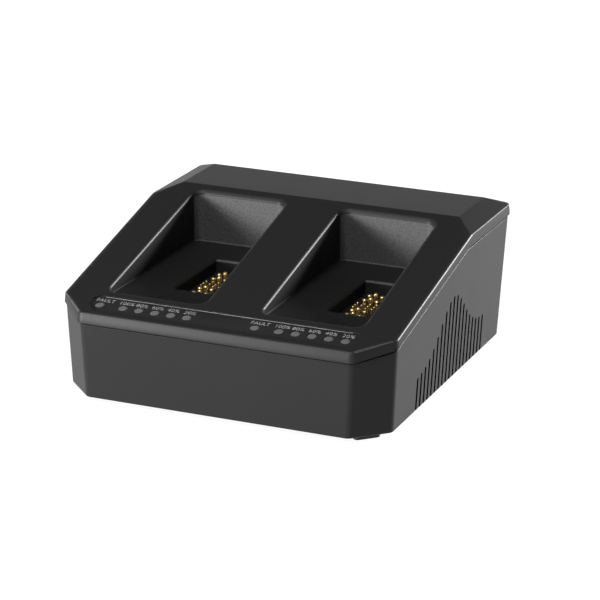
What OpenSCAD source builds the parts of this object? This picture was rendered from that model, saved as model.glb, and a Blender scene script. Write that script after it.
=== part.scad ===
// Two-bay desktop battery charger: a drafted, vented housing with a sloped deck, two deep battery
// bays, a field of spring contacts in the floor of each bay and a row of indicator windows in front.
// Modules work in the housing's own frame: x across, y back from the front edge of the deck and
// z up from the bottom edge of the housing. placed() moves that frame to the part's frame, whose
// origin is centred under the feet.

/* [Housing] */
// Overall width across the skirt of the top cover
body_w = 160; // [156:1:180]
// Overall depth, front edge of the deck to rear of the skirt
body_d = 163; // [160:1:180]
// Height of the deck's front edge above the bottom edge
front_h = 40.4; // [38:0.2:46]
// Height of the level rear plateau above the bottom edge
plateau_h = 68; // [64:0.5:76]
// Horizontal run of the sloped deck, front edge to crease
deck_run = 119; // [117:0.5:124]
// Leg of the 45 degree cut at the two front corners
corner_cut = 14.8; // [12:0.2:18]
// Draft of the lower walls, in degrees
draft = 2.5; // [0:0.25:3]
// Wall thickness of both mouldings
wall = 2.5; // [2:0.1:3]
// Radius of the upright edges
upright_r = 4; // [3.2:0.1:6]
// Radius of the edges round the deck and the bottom
edge_r = 1.4; // [0.8:0.1:1.8]
// Radius of the soft creases of the top
crease_r = 3; // [1:0.5:5]
// Height of the cover's skirt above the parting line
skirt_h = 5; // [4.5:0.25:7]
// Amount by which the skirt stands proud of the lower wall
skirt_proud = 0.35; // [0.1:0.05:0.6]
// Height of the locating lip inside the skirt
lip_h = 1.5; // [0.75:0.25:1.5]
// Thickness of the locating lip
lip_t = 1.1; // [0.8:0.1:1.5]
// Clearance between lip and skirt
lip_gap = 0.2; // [0.1:0.05:0.4]
// Width of the bevel between plateau and side wall
side_bevel_run = 10.6; // [8:0.2:12]
// Width of the bevel between plateau and rear wall
rear_bevel_run = 8.9; // [6:0.2:12]
// Drop of both bevels
bevel_drop = 3.7; // [2:0.1:5]

/* [Bays] */
// Width of the deck outside each bay, at the side
side_margin = 19.5; // [18:0.25:20.5]
// Width of a bay
bay_w = 46.8; // [44:0.2:48]
// Front wall of a bay, measured back from the front edge
bay_front = 20; // [19:0.25:24]
// Length of a bay
bay_l = 93.5; // [90:0.5:95]
// Height of the bay floor above the bottom edge
bay_floor_z = 41.7; // [40.5:0.1:42.5]
// Plan radius of the bay corners
bay_r = 5; // [3:0.25:8]
// Radius of the rim of a bay
rim_r = 1.3; // [0.6:0.1:1.6]
// Radius where the walls meet the bay floor
bay_root_r = 0.8; // [0.3:0.1:1.2]

/* [Contacts] */
// Width of the contact well in the bay floor
well_w = 18.7; // [18:0.1:22]
// Length of the contact well
well_l = 45.8; // [42:0.2:50]
// Depth of the contact well below the bay floor
well_depth = 6; // [5:0.25:7]
// Centre of the well, to the right of the bay centre
well_dx = 7.5; // [5:0.25:9]
// Centre of the well, back from the front wall of the bay
well_dy = 46.5; // [42:0.5:50]
// Corner radius of the well
well_r = 1.5; // [0.8:0.1:2.5]
// Wall of the collar that hangs under the bay floor
collar_t = 2; // [1.5:0.1:2.5]
// Clearance of the contact block in its collar
block_gap = 0.15; // [0.05:0.05:0.3]
// Spacing of the contacts across the bay
pin_pitch = 3; // [2.9:0.05:3.4]
// Spacing of the rows of signal contacts
signal_row_pitch = 3; // [2.5:0.1:3.2]
// Distance of the inner power rows from the centre of the field
power_row_in = 7.5; // [6.5:0.1:8.5]
// Distance of the outer power rows from the centre of the field
power_row_out = 14; // [12:0.25:16]
// Centre of the contact field, forward of the centre of the well
field_dy = 1.5; // [0:0.25:3]
// Diameter of a power plunger
power_d = 2.1; // [1.6:0.05:2.2]
// Diameter of a signal plunger
signal_d = 1; // [0.8:0.05:1.1]
// Running clearance between plunger and barrel, on the radius
plunger_gap = 0.05; // [0.02:0.01:0.08]
// Wall of a power barrel
power_barrel_t = 0.25; // [0.15:0.05:0.3]
// Wall of a signal barrel
signal_barrel_t = 0.2; // [0.15:0.05:0.3]
// Depth of the power tips below the bay floor
power_tip_depth = 3; // [2.8:0.1:3.6]
// Depth of the signal tips below the bay floor
signal_tip_depth = 3.4; // [3:0.1:4]
// Extra height of the middle column of power plungers
middle_rise = 1; // [0:0.1:1.4]
// Travel of the plungers
plunger_travel = 1.2; // [0.8:0.1:1.4]
// Height of the barrels above the block
barrel_proud = 0.6; // [0.3:0.1:0.8]

/* [Indicators] */
// Diameter of an indicator window
window_d = 4.4; // [3:0.1:5]
// Spacing of the charge level windows
window_pitch = 7.7; // [6.5:0.1:8]
// Distance from the fault window to the first charge level window
fault_gap = 11.3; // [9:0.1:12]
// Distance from the bay centre to the last window of its row
window_dx = 20.8; // [20:0.1:22]
// Distance of the windows back from the front edge
window_y = 8.2; // [7.6:0.1:9]
// Clearance round a light guide
guide_gap = 0.1; // [0.05:0.05:0.2]
// Distance of the recessed panel's ends from the sides
panel_margin = 16.6; // [16.4:0.2:18]
// Front edge of the recessed panel
panel_front = 2.8; // [2:0.1:4]
// Rear edge of the recessed panel
panel_back = 15.2; // [14:0.1:16]
// Cut of the panel's corners
panel_cut = 2.4; // [1:0.1:3]
// Depth of the recessed panel
panel_depth = 0.6; // [0.4:0.05:0.9]
// Thickness of the overlay film
overlay_t = 0.25; // [0.15:0.05:0.35]
// Clearance round the overlay film
overlay_gap = 0.15; // [0.05:0.05:0.3]

/* [Vents] */
// Number of slots in each side
vent_n = 19; // [7:1:21]
// Spacing of the slots
vent_pitch = 4.8; // [4.2:0.1:5]
// Width of a slot
vent_w = 1.8; // [1:0.1:2.4]
// First slot, back from the front edge
vent_front = 45.1; // [40:0.5:50]
// Height of the shortest slot at the front
vent_low = 15.4; // [8:0.2:18]
// Rise of the slot tops from front to rear
vent_drift = 2.4; // [0:0.2:4]
// Height of the hump in the slot tops
vent_hump = 24; // [10:0.5:25]
// Half width of the hump
vent_hump_w = 22; // [14:1:26]

/* [Feet] */
// Height of the feet below the housing
foot_h = 2; // [1.5:0.25:4]
// Width of a foot
foot_w = 12.4; // [9:0.2:13]
// Corner radius of a foot
foot_r = 2; // [1:0.25:3]
// Depth to which a foot is let into the floor
foot_seat = 0.8; // [0.4:0.1:1.2]
// Distance of a foot from the cut corner and from the walls
foot_inset = 2.2; // [1.5:0.1:5]
// Clearance round a foot in its seat
foot_gap = 0.1; // [0.05:0.05:0.3]

/* [Boards] */
// Thickness of the circuit boards
board_t = 1.6; // [1:0.1:2]
// Height of the board posts above the floor
post_h = 6; // [4:0.5:7]
// Diameter of the board posts
post_d = 6.5; // [5:0.25:7]
// Distance of the charge board from the sides
charge_margin = 16; // [15:0.5:18]
// Front edge of the charge board
charge_front = 14; // [12:0.5:18]
// Length of the charge board
charge_l = 94; // [88:0.5:96]
// Distance of the supply board from the sides
supply_margin = 18; // [17.5:0.5:20]
// Gap between the two boards
board_split = 5; // [3:0.5:8]
// Gap between the supply board and the rear wall
supply_gap = 3.7; // [3:0.1:6]
// Distance of the board screws from the board edges
post_inset = 5; // [4:0.25:6]
// Width of a heat sink
sink_w = 22; // [16:0.5:24]
// Length of a heat sink
sink_l = 56; // [40:1:60]
// Height of a heat sink
sink_h = 15; // [10:0.5:17]
// Number of fins on a heat sink
sink_fins = 6; // [4:1:8]
// Thickness of a fin
sink_fin_t = 1.4; // [0.8:0.1:1.8]
// Thickness of a heat sink's base
sink_base_t = 3; // [2:0.25:4]

/* [Inlet] */
// Centre of the mains inlet, in from the left side
inlet_margin = 38; // [34:0.5:44]
// Height of the inlet centre above the bottom edge
inlet_z = 26; // [24:0.5:30]
// Width of the inlet's socket
inlet_w = 20; // [19:0.25:22]
// Height of the inlet's socket
inlet_h = 11; // [10:0.25:13]
// Depth of the inlet's socket
inlet_socket_l = 13; // [10:0.5:15]
// Wall of the inlet's moulding
inlet_t = 1.6; // [1.2:0.1:2]
// Width of the flange round the inlet
inlet_flange = 2.4; // [1.6:0.1:3.2]
// Thickness of the flange
inlet_flange_t = 1.2; // [0.8:0.1:1.4]
// Distance between the two inlet pins
inlet_pin_pitch = 8.6; // [8:0.1:9.5]
// Diameter of an inlet pin
inlet_pin_d = 2.4; // [2:0.1:2.8]
// Clearance of the inlet in the rear wall
inlet_gap = 0.2; // [0.1:0.05:0.4]

/* [Fasteners] */
// Diameter of the case screws
case_screw_d = 3; // [2.5:0.1:3.5]
// Diameter of the case screw heads
case_head_d = 5.6; // [5:0.1:6]
// Length of the case screws under the head
case_screw_l = 16; // [12:0.5:17]
// Outer diameter of the case screw towers
tower_d = 9; // [8.5:0.1:10]
// Height at which the towers of both mouldings meet
tower_z = 33; // [28:0.5:34]
// Distance of the tower centres from the sides
tower_inset = 10.5; // [10:0.25:11]
// Front pair of towers, back from the front edge
tower_front = 24.5; // [23:0.25:28]
// Rear pair of towers, forward from the rear
tower_rear = 26; // [25:0.25:27]
// Diameter of the small screws
board_screw_d = 2.2; // [1.8:0.1:2.5]
// Diameter of the small screw heads
board_head_d = 4; // [3.6:0.1:4.6]
// Clearance round every screw, on the radius
screw_gap = 0.15; // [0.05:0.05:0.25]

/* [Hidden] */
$fn = 32;
eps = 0.01;
k = (plateau_h - front_h) / deck_run;
deck_tilt = atan(k);
side_top = plateau_h - bevel_drop;
side_grade = bevel_drop / side_bevel_run;
rear_grade = bevel_drop / rear_bevel_run;
draft_rate = tan(draft);
seam_front = front_h - skirt_h;
seam_top = side_top - skirt_h;
seam_knee = (side_top - front_h) / k;
lower_top_x = body_w / 2 - skirt_proud;
floor_z = wall;
board_z = floor_z + post_h;
board_top = board_z + board_t;
bay_pitch = body_w - bay_w - 2 * side_margin;
bay_mid_y = bay_front + bay_l / 2;
tower_x = body_w / 2 - tower_inset;
panel_half = body_w / 2 - panel_margin;
charge_half = body_w / 2 - charge_margin;
supply_half = body_w / 2 - supply_margin;
inlet_x = body_w / 2 - inlet_margin;
inlet_r = 4;
block_top = bay_floor_z - well_depth;
block_t = 2.5;
flange_t = 1.5;
collar_bottom = block_top - block_t;
contact_board_top = collar_bottom - flange_t;
well_y = bay_front + well_dy;
field_y = well_y - field_dy;
ear = 5.5;
ear_y = well_l / 2 + collar_t + ear;
supply_front = charge_front + charge_l + board_split;
rear_inner = body_d - skirt_proud - (seam_top - inlet_z) * draft_rate - wall;
supply_l = rear_inner - supply_front - supply_gap;
window_x = [for (i = [0:4]) window_dx - i * window_pitch];
all_windows = concat([window_x[4] - fault_gap], [for (i = [4:-1:0]) window_x[i]]);
guide_base = 1;
led_h = 1.1;
led_air = 0.3;
indicator_top = -(wall + guide_base + led_air + led_h);
indicator_post_d = 4.4;
guide_margin = 0.5;
guide_seat = 0.03;
indicator_board_l = 8.4;
indicator_post_x = bay_pitch / 2 + window_dx + window_d / 2 + guide_margin + 0.4 + indicator_post_d / 2;
root_r = 0.5;
ear_bite = 5;
indicator_bite = 2;
bite_spare = 0.5;
case_head_h = 2;
board_head_h = 1.4;
notch = [1.6, 1.2, 1.4];
notch_x = 2.4;
notch_z = 2.2;
signal_cols = [-1.5, -0.5, 0.5, 1.5];
power_rows = [-power_row_out, -power_row_in, power_row_in, power_row_out];
dome = 0.6;
barrel_floor = 0.4;
spring_l = 0.3;
plunger_bottom = contact_board_top + barrel_floor + plunger_travel + spring_l;
header = [5, 14, 3.5];
plug = [12, 4, 4];
cable_t = 0.8;
cable_w = 10;
header_x = well_dx - well_w / 2 - collar_t + header[0] / 2;
charge_mid = charge_front + charge_l / 2;
controller = [9, 9, 1.4];
driver = [6, 5, 1.2];
regulator = [10, 8, 2];
inductor_d = 12;
inductor_coil_d = 9;
inductor_h = 7.5;
inductor_flange_t = 1.5;
can_edge = 0.8;
output_can = [8, 13];
bulk_can = [17, 32];
bulk_front = 9.558;
core = [30, 14, 26];
core_x = 0.45;
leg = 6;
choke_r = 5.6;
choke_wire_r = 3.2;
rectifier = [18, 4, 15];
rectifier_gap = 3.16;
fuse_d = 4.6;
fuse_l = 14;
fuse_cap_d = 5.2;
fuse_cap_l = 5;
rectifier_x = -inlet_x + (fuse_l + 1 + fuse_cap_l) / 2 + rectifier_gap + rectifier[0] / 2;
supply_sink = [8, supply_l - 16, 24];
supply_sink_t = 2;
pin_tail = 5;
pin_set_back = 3;
lead_d = 2.4;
lead_bend = 3;
lead_start = 1.5;
black = [0.09, 0.09, 0.095];
dark = [0.06, 0.06, 0.06];
board_green = [0.05, 0.25, 0.14];
grey = [0.3, 0.3, 0.32];
gold = [0.85, 0.66, 0.28];
steel = [0.66, 0.67, 0.69];

// Frames and plan geometry

// The housing's own frame, moved so that the origin is centred under the feet
module placed() translate([0, -body_d / 2, foot_h]) children();

// A frame that lies in the deck: x across, y up the slope from the front edge, z out of the deck
module on_deck() translate([0, 0, front_h]) rotate([deck_tilt, 0, 0]) children();

// Distance up the slope for a horizontal distance back from the front edge
function up(y) = y / cos(deck_tilt);

// Both sides: side is -1 on the left and 1 on the right
module at_bay(side) translate([side * bay_pitch / 2, 0, 0]) children();
module both_sides() {
    children();
    mirror([1, 0, 0]) children();
}

// Half width of the lower walls at a height, and their front and rear
function low_x(z) = lower_top_x - (seam_top - z) * draft_rate;
function low_front(z) = skirt_proud + (seam_front - z) * draft_rate;
function low_rear(z) = body_d - skirt_proud - (seam_top - z) * draft_rate;

// Centres of the rounded upright edges on the right, for walls at x, front and rear
function corners(x, front, rear, r) = [
    [x - corner_cut - r * (sqrt(2) - 1), front + r],
    [x - r, front + corner_cut + r * (sqrt(2) - 1)],
    [x - r, rear - r]];

// Height of the centre of a rounded corner that touches the top planes from below. The corner is
// a ring of radius ring with a section of radius r, and the planes are lowered by inset.
function under(plane, grade, r, ring, inset) =
    plane - (r + inset) * sqrt(1 + grade * grade) - ring * grade;
function rest_z(x, y, r, ring, inset) = min(
    under(front_h + k * y, k, r, ring, inset),
    under(plateau_h, 0, r, ring, inset),
    under(side_top + side_grade * (body_w / 2 - x), side_grade, r, ring, inset),
    under(side_top + rear_grade * (body_d - y), rear_grade, r, ring, inset));

// Point on the side wall where the deck meets the side bevel
function knee_y(x, r, ring) = (side_top + side_grade * (body_w / 2 - x) - front_h
    - r * (sqrt(1 + side_grade * side_grade) - sqrt(1 + k * k)) - ring * (side_grade - k)) / k;

// Soft corners of the plateau
function crease_x(r) = body_w / 2 - side_bevel_run
    - r * (sqrt(1 + side_grade * side_grade) - 1) / side_grade;
function crease_front(r) = deck_run + r * (sqrt(1 + k * k) - 1) / k;
function crease_rear(r) = body_d - rear_bevel_run
    - r * (sqrt(1 + rear_grade * rear_grade) - 1) / rear_grade;

// Corner pieces for the shells
module ring(outer, r)
    if (outer < 2 * r) sphere(outer, $fn = 24);
    else rotate_extrude() translate([outer - r, 0]) circle(r, $fn = 16);

// Everything under the top planes and inside the skirt. The skirt's walls are upright, and its
// sides spread slightly to the rear, where the drafted lower walls are wider.
module cover_form(inset) {
    r = upright_r - inset;
    edge = inset > 0 ? root_r : edge_r;
    front_x = low_x(seam_front + k * corner_cut) + skirt_proud;
    front_pts = corners(front_x, 0, body_d, upright_r);
    rear_x = body_w / 2 - upright_r;
    pts = [front_pts[0], front_pts[1], [rear_x, knee_y(rear_x, edge_r, upright_r - edge_r)],
           [rear_x, body_d - upright_r]];
    soft = max(crease_r - inset, 0.4);
    hull() both_sides() {
        for (p = pts) {
            translate([p[0], p[1], rest_z(p[0], p[1], edge, r - edge, inset)]) ring(r, edge);
            translate([p[0], p[1], seam_front - skirt_h]) cylinder(r = r, h = eps);
        }
        for (y = [crease_front(crease_r), crease_rear(crease_r)])
            translate([crease_x(crease_r), y, plateau_h - inset - soft]) sphere(soft, $fn = 24);
    }
}

// Everything inside the drafted lower walls, up to a height
module lower_form(inset) {
    r = max(upright_r - inset, root_r);
    edge = inset > 0 ? root_r : edge_r;
    hull() both_sides() {
        for (p = corners(low_x(0), low_front(0), low_rear(0), upright_r))
            translate([p[0], p[1], inset + edge]) ring(r, edge);
        for (p = corners(low_x(side_top), low_front(side_top), low_rear(side_top), upright_r))
            translate([p[0], p[1], side_top - eps]) cylinder(r = r, h = eps);
    }
}

// The side view of the parting line as a solid: everything below it, raised by lift
module below_seam(lift) translate([-body_w, 0, 0]) rotate([90, 0, 90])
    linear_extrude(2 * body_w) polygon([
        [-wall, -wall], [-wall, seam_front - k * wall + lift], [seam_knee, seam_top + lift],
        [body_d + wall, seam_top + lift], [body_d + wall, -wall]]);

// A rounded rectangle with true arcs, centred
module rounded(w, l, r) {
    square([w - 2 * r, l], center = true);
    square([w, l - 2 * r], center = true);
    for (x = [-1, 1], y = [-1, 1]) translate([x * (w / 2 - r), y * (l / 2 - r)]) circle(r);
}

// A slab with a rounded rectangular plan, from z to z + h
module slab(w, l, r, z, h) translate([0, 0, z]) linear_extrude(h) rounded(w, l, r);

// A closed tool lofted through rings with equal numbers of points, lowest ring first
module loft(rings) {
    n = len(rings[0]);
    m = len(rings);
    polyhedron([for (ring = rings) each ring], concat(
        [[for (i = [0:n - 1]) i]],
        [for (j = [0:m - 2], i = [0:n - 1]) [j * n + i, (j + 1) * n + i, (j + 1) * n + (i + 1) % n]],
        [for (j = [0:m - 2], i = [0:n - 1]) [j * n + i, (j + 1) * n + (i + 1) % n, j * n + (i + 1) % n]],
        [[for (i = [n - 1:-1:0]) (m - 1) * n + i]]));
}

// Plan points of a bay that has grown by g, at a given height or at a drop below the deck
steps = 6;
function bay_ring(g, z, drop) = [
    for (c = [[1, 1, 0], [-1, 1, 90], [-1, -1, 180], [1, -1, 270]], i = [0:steps])
        let (r = bay_r + g, a = c[2] + 90 * i / steps,
             x = c[0] * (bay_w / 2 + g - r) + r * cos(a),
             y = bay_mid_y + c[1] * (bay_l / 2 + g - r) + r * sin(a))
        [x, y, is_undef(z) ? front_h + k * y - drop : z]];

// The space of one bay, with a rounded root at the floor and a rounded rim at the deck
module bay_space() loft(concat(
    [for (a = [0:30:90]) bay_ring(-bay_root_r * (1 - sin(a)), bay_floor_z + bay_root_r * (1 - cos(a)))],
    [for (a = [0:22.5:90]) bay_ring(rim_r * (1 - cos(a)), undef, rim_r * (1 - sin(a)))],
    [bay_ring(rim_r + 1, undef, -1)]));

// Contact well, seen from above
module well_plan(grow) rounded(well_w + 2 * grow, well_l + 2 * grow, well_r + max(grow, 0));
module at_well(side) at_bay(side) translate([well_dx, well_y, 0]) children();
module at_ears() for (y = [-ear_y, ear_y]) translate([0, y, 0]) children();

// Positions of the towers and of the board posts
module at_towers() both_sides() {
    translate([tower_x, tower_front, 0]) children();
    translate([tower_x, body_d - tower_rear, 0]) children();
}
module at_charge_posts() both_sides() for (y = [post_inset, charge_l - post_inset])
    translate([charge_half - post_inset, charge_front + y, 0]) children();
module at_supply_posts() both_sides() for (y = [post_inset, supply_l - post_inset])
    translate([supply_half - post_inset, supply_front + y, 0]) children();
module at_indicator_posts() for (x = [-1, 0, 1])
    on_deck() translate([x * indicator_post_x, up(window_y), 0]) children();

// Every window of both rows, in the deck's frame
module at_windows(side) on_deck() for (x = all_windows)
    translate([side * bay_pitch / 2 + x, up(window_y), 0]) children();

// Outline of the recessed panel, smaller by gap
module panel_plan(gap) {
    x = panel_half - gap;
    front = up(panel_front) + gap;
    back = up(panel_back) - gap;
    polygon([[-x, front + 2 * panel_cut], [-x, back - panel_cut], [panel_cut - x, back],
             [x - panel_cut, back], [x, back - panel_cut], [x, front + 2 * panel_cut],
             [x - 2 * panel_cut, front], [2 * panel_cut - x, front]]);
}

// Screws point up, with the underside of the head at z = 0
module screw(d, l, head_d, head_h) {
    cylinder(d = d, h = l);
    difference() {
        translate([0, 0, -head_h]) cylinder(d = head_d, h = head_h);
        for (a = [0, 90]) rotate(a) translate([-head_d * 0.3, -head_d * 0.06, -head_h - eps])
            cube([head_d * 0.6, head_d * 0.12, head_h * 0.5]);
    }
}

// Housing

module top_cover() color(black) placed() difference() {
    union() {
        difference() {
            cover_form(0);
            below_seam(0);
            cover_form(wall);
        }
        intersection() {
            cover_form(wall / 2);
            for (side = [-1, 1]) at_bay(side) translate([0, bay_mid_y, 0])
                slab(bay_w + 2 * wall, bay_l + 2 * wall, bay_r + wall, bay_floor_z - wall, plateau_h);
        }
        for (side = [-1, 1]) at_well(side) {
            translate([0, 0, collar_bottom]) linear_extrude(bay_floor_z - wall / 2 - collar_bottom)
                well_plan(collar_t);
            at_ears() translate([0, 0, collar_bottom])
                cylinder(d = post_d, h = bay_floor_z - wall / 2 - collar_bottom);
        }
        intersection() {
            cover_form(wall / 2);
            at_towers() translate([0, 0, tower_z]) cylinder(d = tower_d, h = plateau_h - tower_z);
        }
        at_indicator_posts() translate([0, 0, indicator_top])
            cylinder(d = indicator_post_d, h = -indicator_top - wall / 2);
    }
    for (side = [-1, 1]) {
        at_bay(side) bay_space();
        at_well(side) {
            translate([0, 0, collar_bottom - 1]) linear_extrude(bay_floor_z - collar_bottom + 2)
                well_plan(0);
            translate([-notch_x, well_l / 2 - eps, bay_floor_z - notch_z]) cube(notch);
            at_ears() translate([0, 0, collar_bottom - eps])
                cylinder(r = board_screw_d / 2 + screw_gap, h = ear_bite + bite_spare);
        }
        at_windows(side) translate([0, 0, -2 * wall]) cylinder(d = window_d, h = 3 * wall);
    }
    on_deck() translate([0, 0, -panel_depth]) linear_extrude(panel_depth + 1) panel_plan(0);
    at_towers() translate([0, 0, tower_z - eps])
        cylinder(r = case_screw_d / 2 + screw_gap, h = case_screw_l / 2 + 1);
    at_indicator_posts() translate([0, 0, indicator_top - eps])
        cylinder(r = board_screw_d / 2 + screw_gap, h = indicator_bite + bite_spare);
}

// Top of a vent slot as a height above the bottom edge: a hump on a gentle rise
function vent_top(i) = let (s = (i - (vent_n - 1) / 2) * vent_pitch)
    vent_low + vent_drift * i / (vent_n - 1) + vent_hump * exp(-s * s / vent_hump_w / vent_hump_w);

module vent_slots() for (i = [0:vent_n - 1])
    translate([low_x(0) - 2 * wall, vent_front + i * vent_pitch, 0]) {
        translate([0, -vent_w / 2, -1]) cube([4 * wall, vent_w, vent_top(i) + 1 - vent_w / 2]);
        translate([0, 0, vent_top(i) - vent_w / 2]) rotate([0, 90, 0])
            cylinder(d = vent_w, h = 4 * wall, $fn = 16);
    }

// A foot under each corner: turned to lie along the cut corners in front
module at_foot(side, rear) {
    reach = low_x(0) - corner_cut / 2 - (foot_inset + foot_w / 2) / sqrt(2);
    near = low_front(0) + corner_cut / 2 + (foot_inset + foot_w / 2) / sqrt(2);
    if (rear) translate([side * (low_x(0) - foot_inset - foot_w / 2),
                         low_rear(0) - foot_inset - foot_w / 2, 0]) children();
    else translate([side * reach, near, 0]) rotate(45) children();
}

module foot(side, rear) color(dark) placed() at_foot(side, rear)
    slab(foot_w, foot_w, foot_r, -foot_h, foot_h + foot_seat);

module lower_housing() color(black) placed() difference() {
    union() {
        difference() {
            intersection() {
                lower_form(0);
                below_seam(0);
            }
            lower_form(wall);
        }
        difference() {
            intersection() {
                lower_form(wall - skirt_proud + lip_gap);
                below_seam(lip_h);
            }
            lower_form(wall - skirt_proud + lip_gap + lip_t);
            below_seam(-skirt_h);
        }
        intersection() {
            lower_form(wall / 2);
            union() {
                at_towers() cylinder(d = tower_d, h = tower_z);
                at_charge_posts() cylinder(d = post_d, h = board_z);
                at_supply_posts() cylinder(d = post_d, h = board_z);
            }
        }
    }
    both_sides() vent_slots();
    at_towers() {
        translate([0, 0, -1]) cylinder(r = case_head_d / 2 + screw_gap,
                                       h = tower_z - case_screw_l / 2 + 1);
        cylinder(r = case_screw_d / 2 + screw_gap, h = tower_z + 1);
    }
    at_charge_posts() translate([0, 0, floor_z]) cylinder(r = board_screw_d / 2 + screw_gap, h = board_z);
    at_supply_posts() translate([0, 0, floor_z]) cylinder(r = board_screw_d / 2 + screw_gap, h = board_z);
    for (side = [-1, 1], rear = [false, true]) at_foot(side, rear)
        slab(foot_w + 2 * foot_gap, foot_w + 2 * foot_gap, foot_r + foot_gap, -1, 1 + foot_seat);
    translate([-inlet_x, rear_inner, inlet_z]) rotate([-90, 0, 0])
        slab(inlet_w + 2 * inlet_t + 2 * inlet_gap, inlet_h + 2 * inlet_t + 2 * inlet_gap,
             inlet_r + inlet_gap, -2 * wall, 5 * wall);
}

module case_screws() color(steel) placed() at_towers()
    translate([0, 0, tower_z - case_screw_l / 2]) screw(case_screw_d, case_screw_l, case_head_d, case_head_h);

// Indicators

module indicator_overlay() color(black) placed() difference() {
    on_deck() translate([0, 0, -panel_depth]) linear_extrude(overlay_t) panel_plan(overlay_gap);
    for (side = [-1, 1]) at_windows(side) translate([0, 0, -wall]) cylinder(d = window_d, h = 2 * wall);
}

module light_guide(side) color([0.62, 0.63, 0.64]) placed() {
    at_windows(side) translate([0, 0, -wall - guide_base / 2])
        cylinder(r = window_d / 2 - guide_gap, h = wall + guide_base / 2 - panel_depth + overlay_t);
    on_deck() translate([side * bay_pitch / 2 + (all_windows[0] + all_windows[5]) / 2, up(window_y), 0])
        slab(all_windows[5] - all_windows[0] + window_d + 2 * guide_margin,
             window_d + 2 * guide_margin, 1, -wall - guide_base, guide_base - guide_seat);
}

module indicator_board() color(board_green) placed() difference() {
    on_deck() translate([0, up(window_y), 0])
        slab(2 * indicator_post_x + indicator_post_d + 2 * guide_margin, indicator_board_l,
             0.48 * indicator_board_l, indicator_top - board_t, board_t);
    at_indicator_posts() translate([0, 0, indicator_top - board_t - 1])
        cylinder(r = board_screw_d / 2 + screw_gap, h = board_t + 2);
}

module indicator_leds() color("white") placed() for (side = [-1, 1])
    at_windows(side) translate([-1.6, -1.4, indicator_top]) cube([3.2, 2.8, led_h]);

module indicator_board_screws() color(steel) placed() at_indicator_posts()
    translate([0, 0, indicator_top - board_t])
        screw(board_screw_d, board_t + indicator_bite, board_head_d, board_head_h);

// Contacts

// Places of the contacts, counted in columns from the middle of the well
module at_power(side, cols = [-1, 0, 1]) at_bay(side) for (c = cols, y = power_rows)
    translate([well_dx + c * pin_pitch, field_y + y, 0]) children();
module at_signal(side) at_bay(side) for (c = signal_cols, r = [-1, 0, 1])
    translate([well_dx + c * pin_pitch, field_y + r * signal_row_pitch, 0]) children();

module contact_block(side) color(dark) placed() difference() {
    at_well(side) {
        translate([0, 0, collar_bottom]) linear_extrude(block_t) well_plan(-block_gap);
        translate([0, 0, contact_board_top]) linear_extrude(flange_t) {
            well_plan(collar_t);
            square([post_d + 1, 2 * ear_y + post_d], center = true);
        }
    }
    at_well(side) at_ears() translate([0, 0, contact_board_top - 1])
        cylinder(r = board_screw_d / 2 + screw_gap, h = flange_t + 2);
    at_power(side) cylinder(r = power_d / 2 + plunger_gap + power_barrel_t, h = bay_floor_z);
    at_signal(side) cylinder(r = signal_d / 2 + plunger_gap + signal_barrel_t, h = bay_floor_z);
}

module contact_board(side) color(board_green) placed() difference() {
    at_well(side) translate([0, 0, contact_board_top - board_t]) linear_extrude(board_t) {
        well_plan(collar_t);
        square([post_d + 1, 2 * ear_y + post_d], center = true);
    }
    at_well(side) at_ears() translate([0, 0, contact_board_top - board_t - 1])
        cylinder(r = board_screw_d / 2 + screw_gap, h = board_t + 2);
}

module contact_screws(side) color(steel) placed() at_well(side) at_ears()
    translate([0, 0, contact_board_top - board_t])
        screw(board_screw_d, board_t + flange_t + ear_bite, board_head_d, board_head_h);

// A barrel closed below, from the contact board to its rim above the block
module barrel(bore_r, t) translate([0, 0, contact_board_top]) difference() {
    cylinder(r = bore_r + t, h = block_top + barrel_proud - contact_board_top);
    translate([0, 0, barrel_floor]) cylinder(r = bore_r, h = well_depth + block_t);
}

// A plunger with a domed tip at height tip. It stands clear of its barrel's floor by its travel
// and the length of the pressed spring.
module plunger(d, tip) translate([0, 0, plunger_bottom]) {
    body = tip - plunger_bottom - dome * d / 2;
    rotate_extrude() {
        square([d / 2, body]);
        translate([0, body]) intersection() {
            circle(d / 2);
            square([d / 2, dome * d / 2]);
        }
    }
}

module power_barrels(side) color(gold) placed() at_power(side)
    barrel(power_d / 2 + plunger_gap, power_barrel_t);
module signal_barrels(side) color(gold) placed() at_signal(side)
    barrel(signal_d / 2 + plunger_gap, signal_barrel_t);
module power_plungers(side) color(gold) placed() {
    tip = bay_floor_z - power_tip_depth;
    at_power(side, [-1, 1]) plunger(power_d, tip);
    at_power(side, [0]) plunger(power_d, tip + middle_rise);
}
module signal_plungers(side) color(gold) placed() at_signal(side)
    plunger(signal_d, bay_floor_z - signal_tip_depth);

// Boards and what they carry

// Flat leads: a strip along points in the side view, w wide and t thick
module strip(pts, w, t) rotate([90, 0, 90]) translate([0, 0, -w / 2]) linear_extrude(w)
    polygon(concat([for (p = pts) [p[0] - t / 2, p[1]]],
                   [for (i = [len(pts) - 1:-1:0]) [pts[i][0] + t / 2, pts[i][1]]]));

// A flat lead with a plug at each end, between a contact board and the charge board
module contact_cable(side) color(grey) placed() at_bay(side) translate([header_x, well_y, 0]) {
    top = contact_board_top - board_t;
    for (z = [board_top, top - header[2]]) translate([-header[0] / 2, -header[1] / 2, z]) cube(header);
    translate([-cable_t / 2, -cable_w / 2, board_top + header[2] / 2])
        cube([cable_t, cable_w, top - board_top - header[2]]);
}

module board_plate(half, front, l) translate([-half, front, board_z]) cube([2 * half, l, board_t]);
module screw_holes() translate([0, 0, floor_z]) cylinder(r = board_screw_d / 2 + screw_gap, h = board_top);

module charge_board() color(board_green) placed() difference() {
    board_plate(charge_half, charge_front, charge_l);
    at_charge_posts() screw_holes();
}

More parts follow.
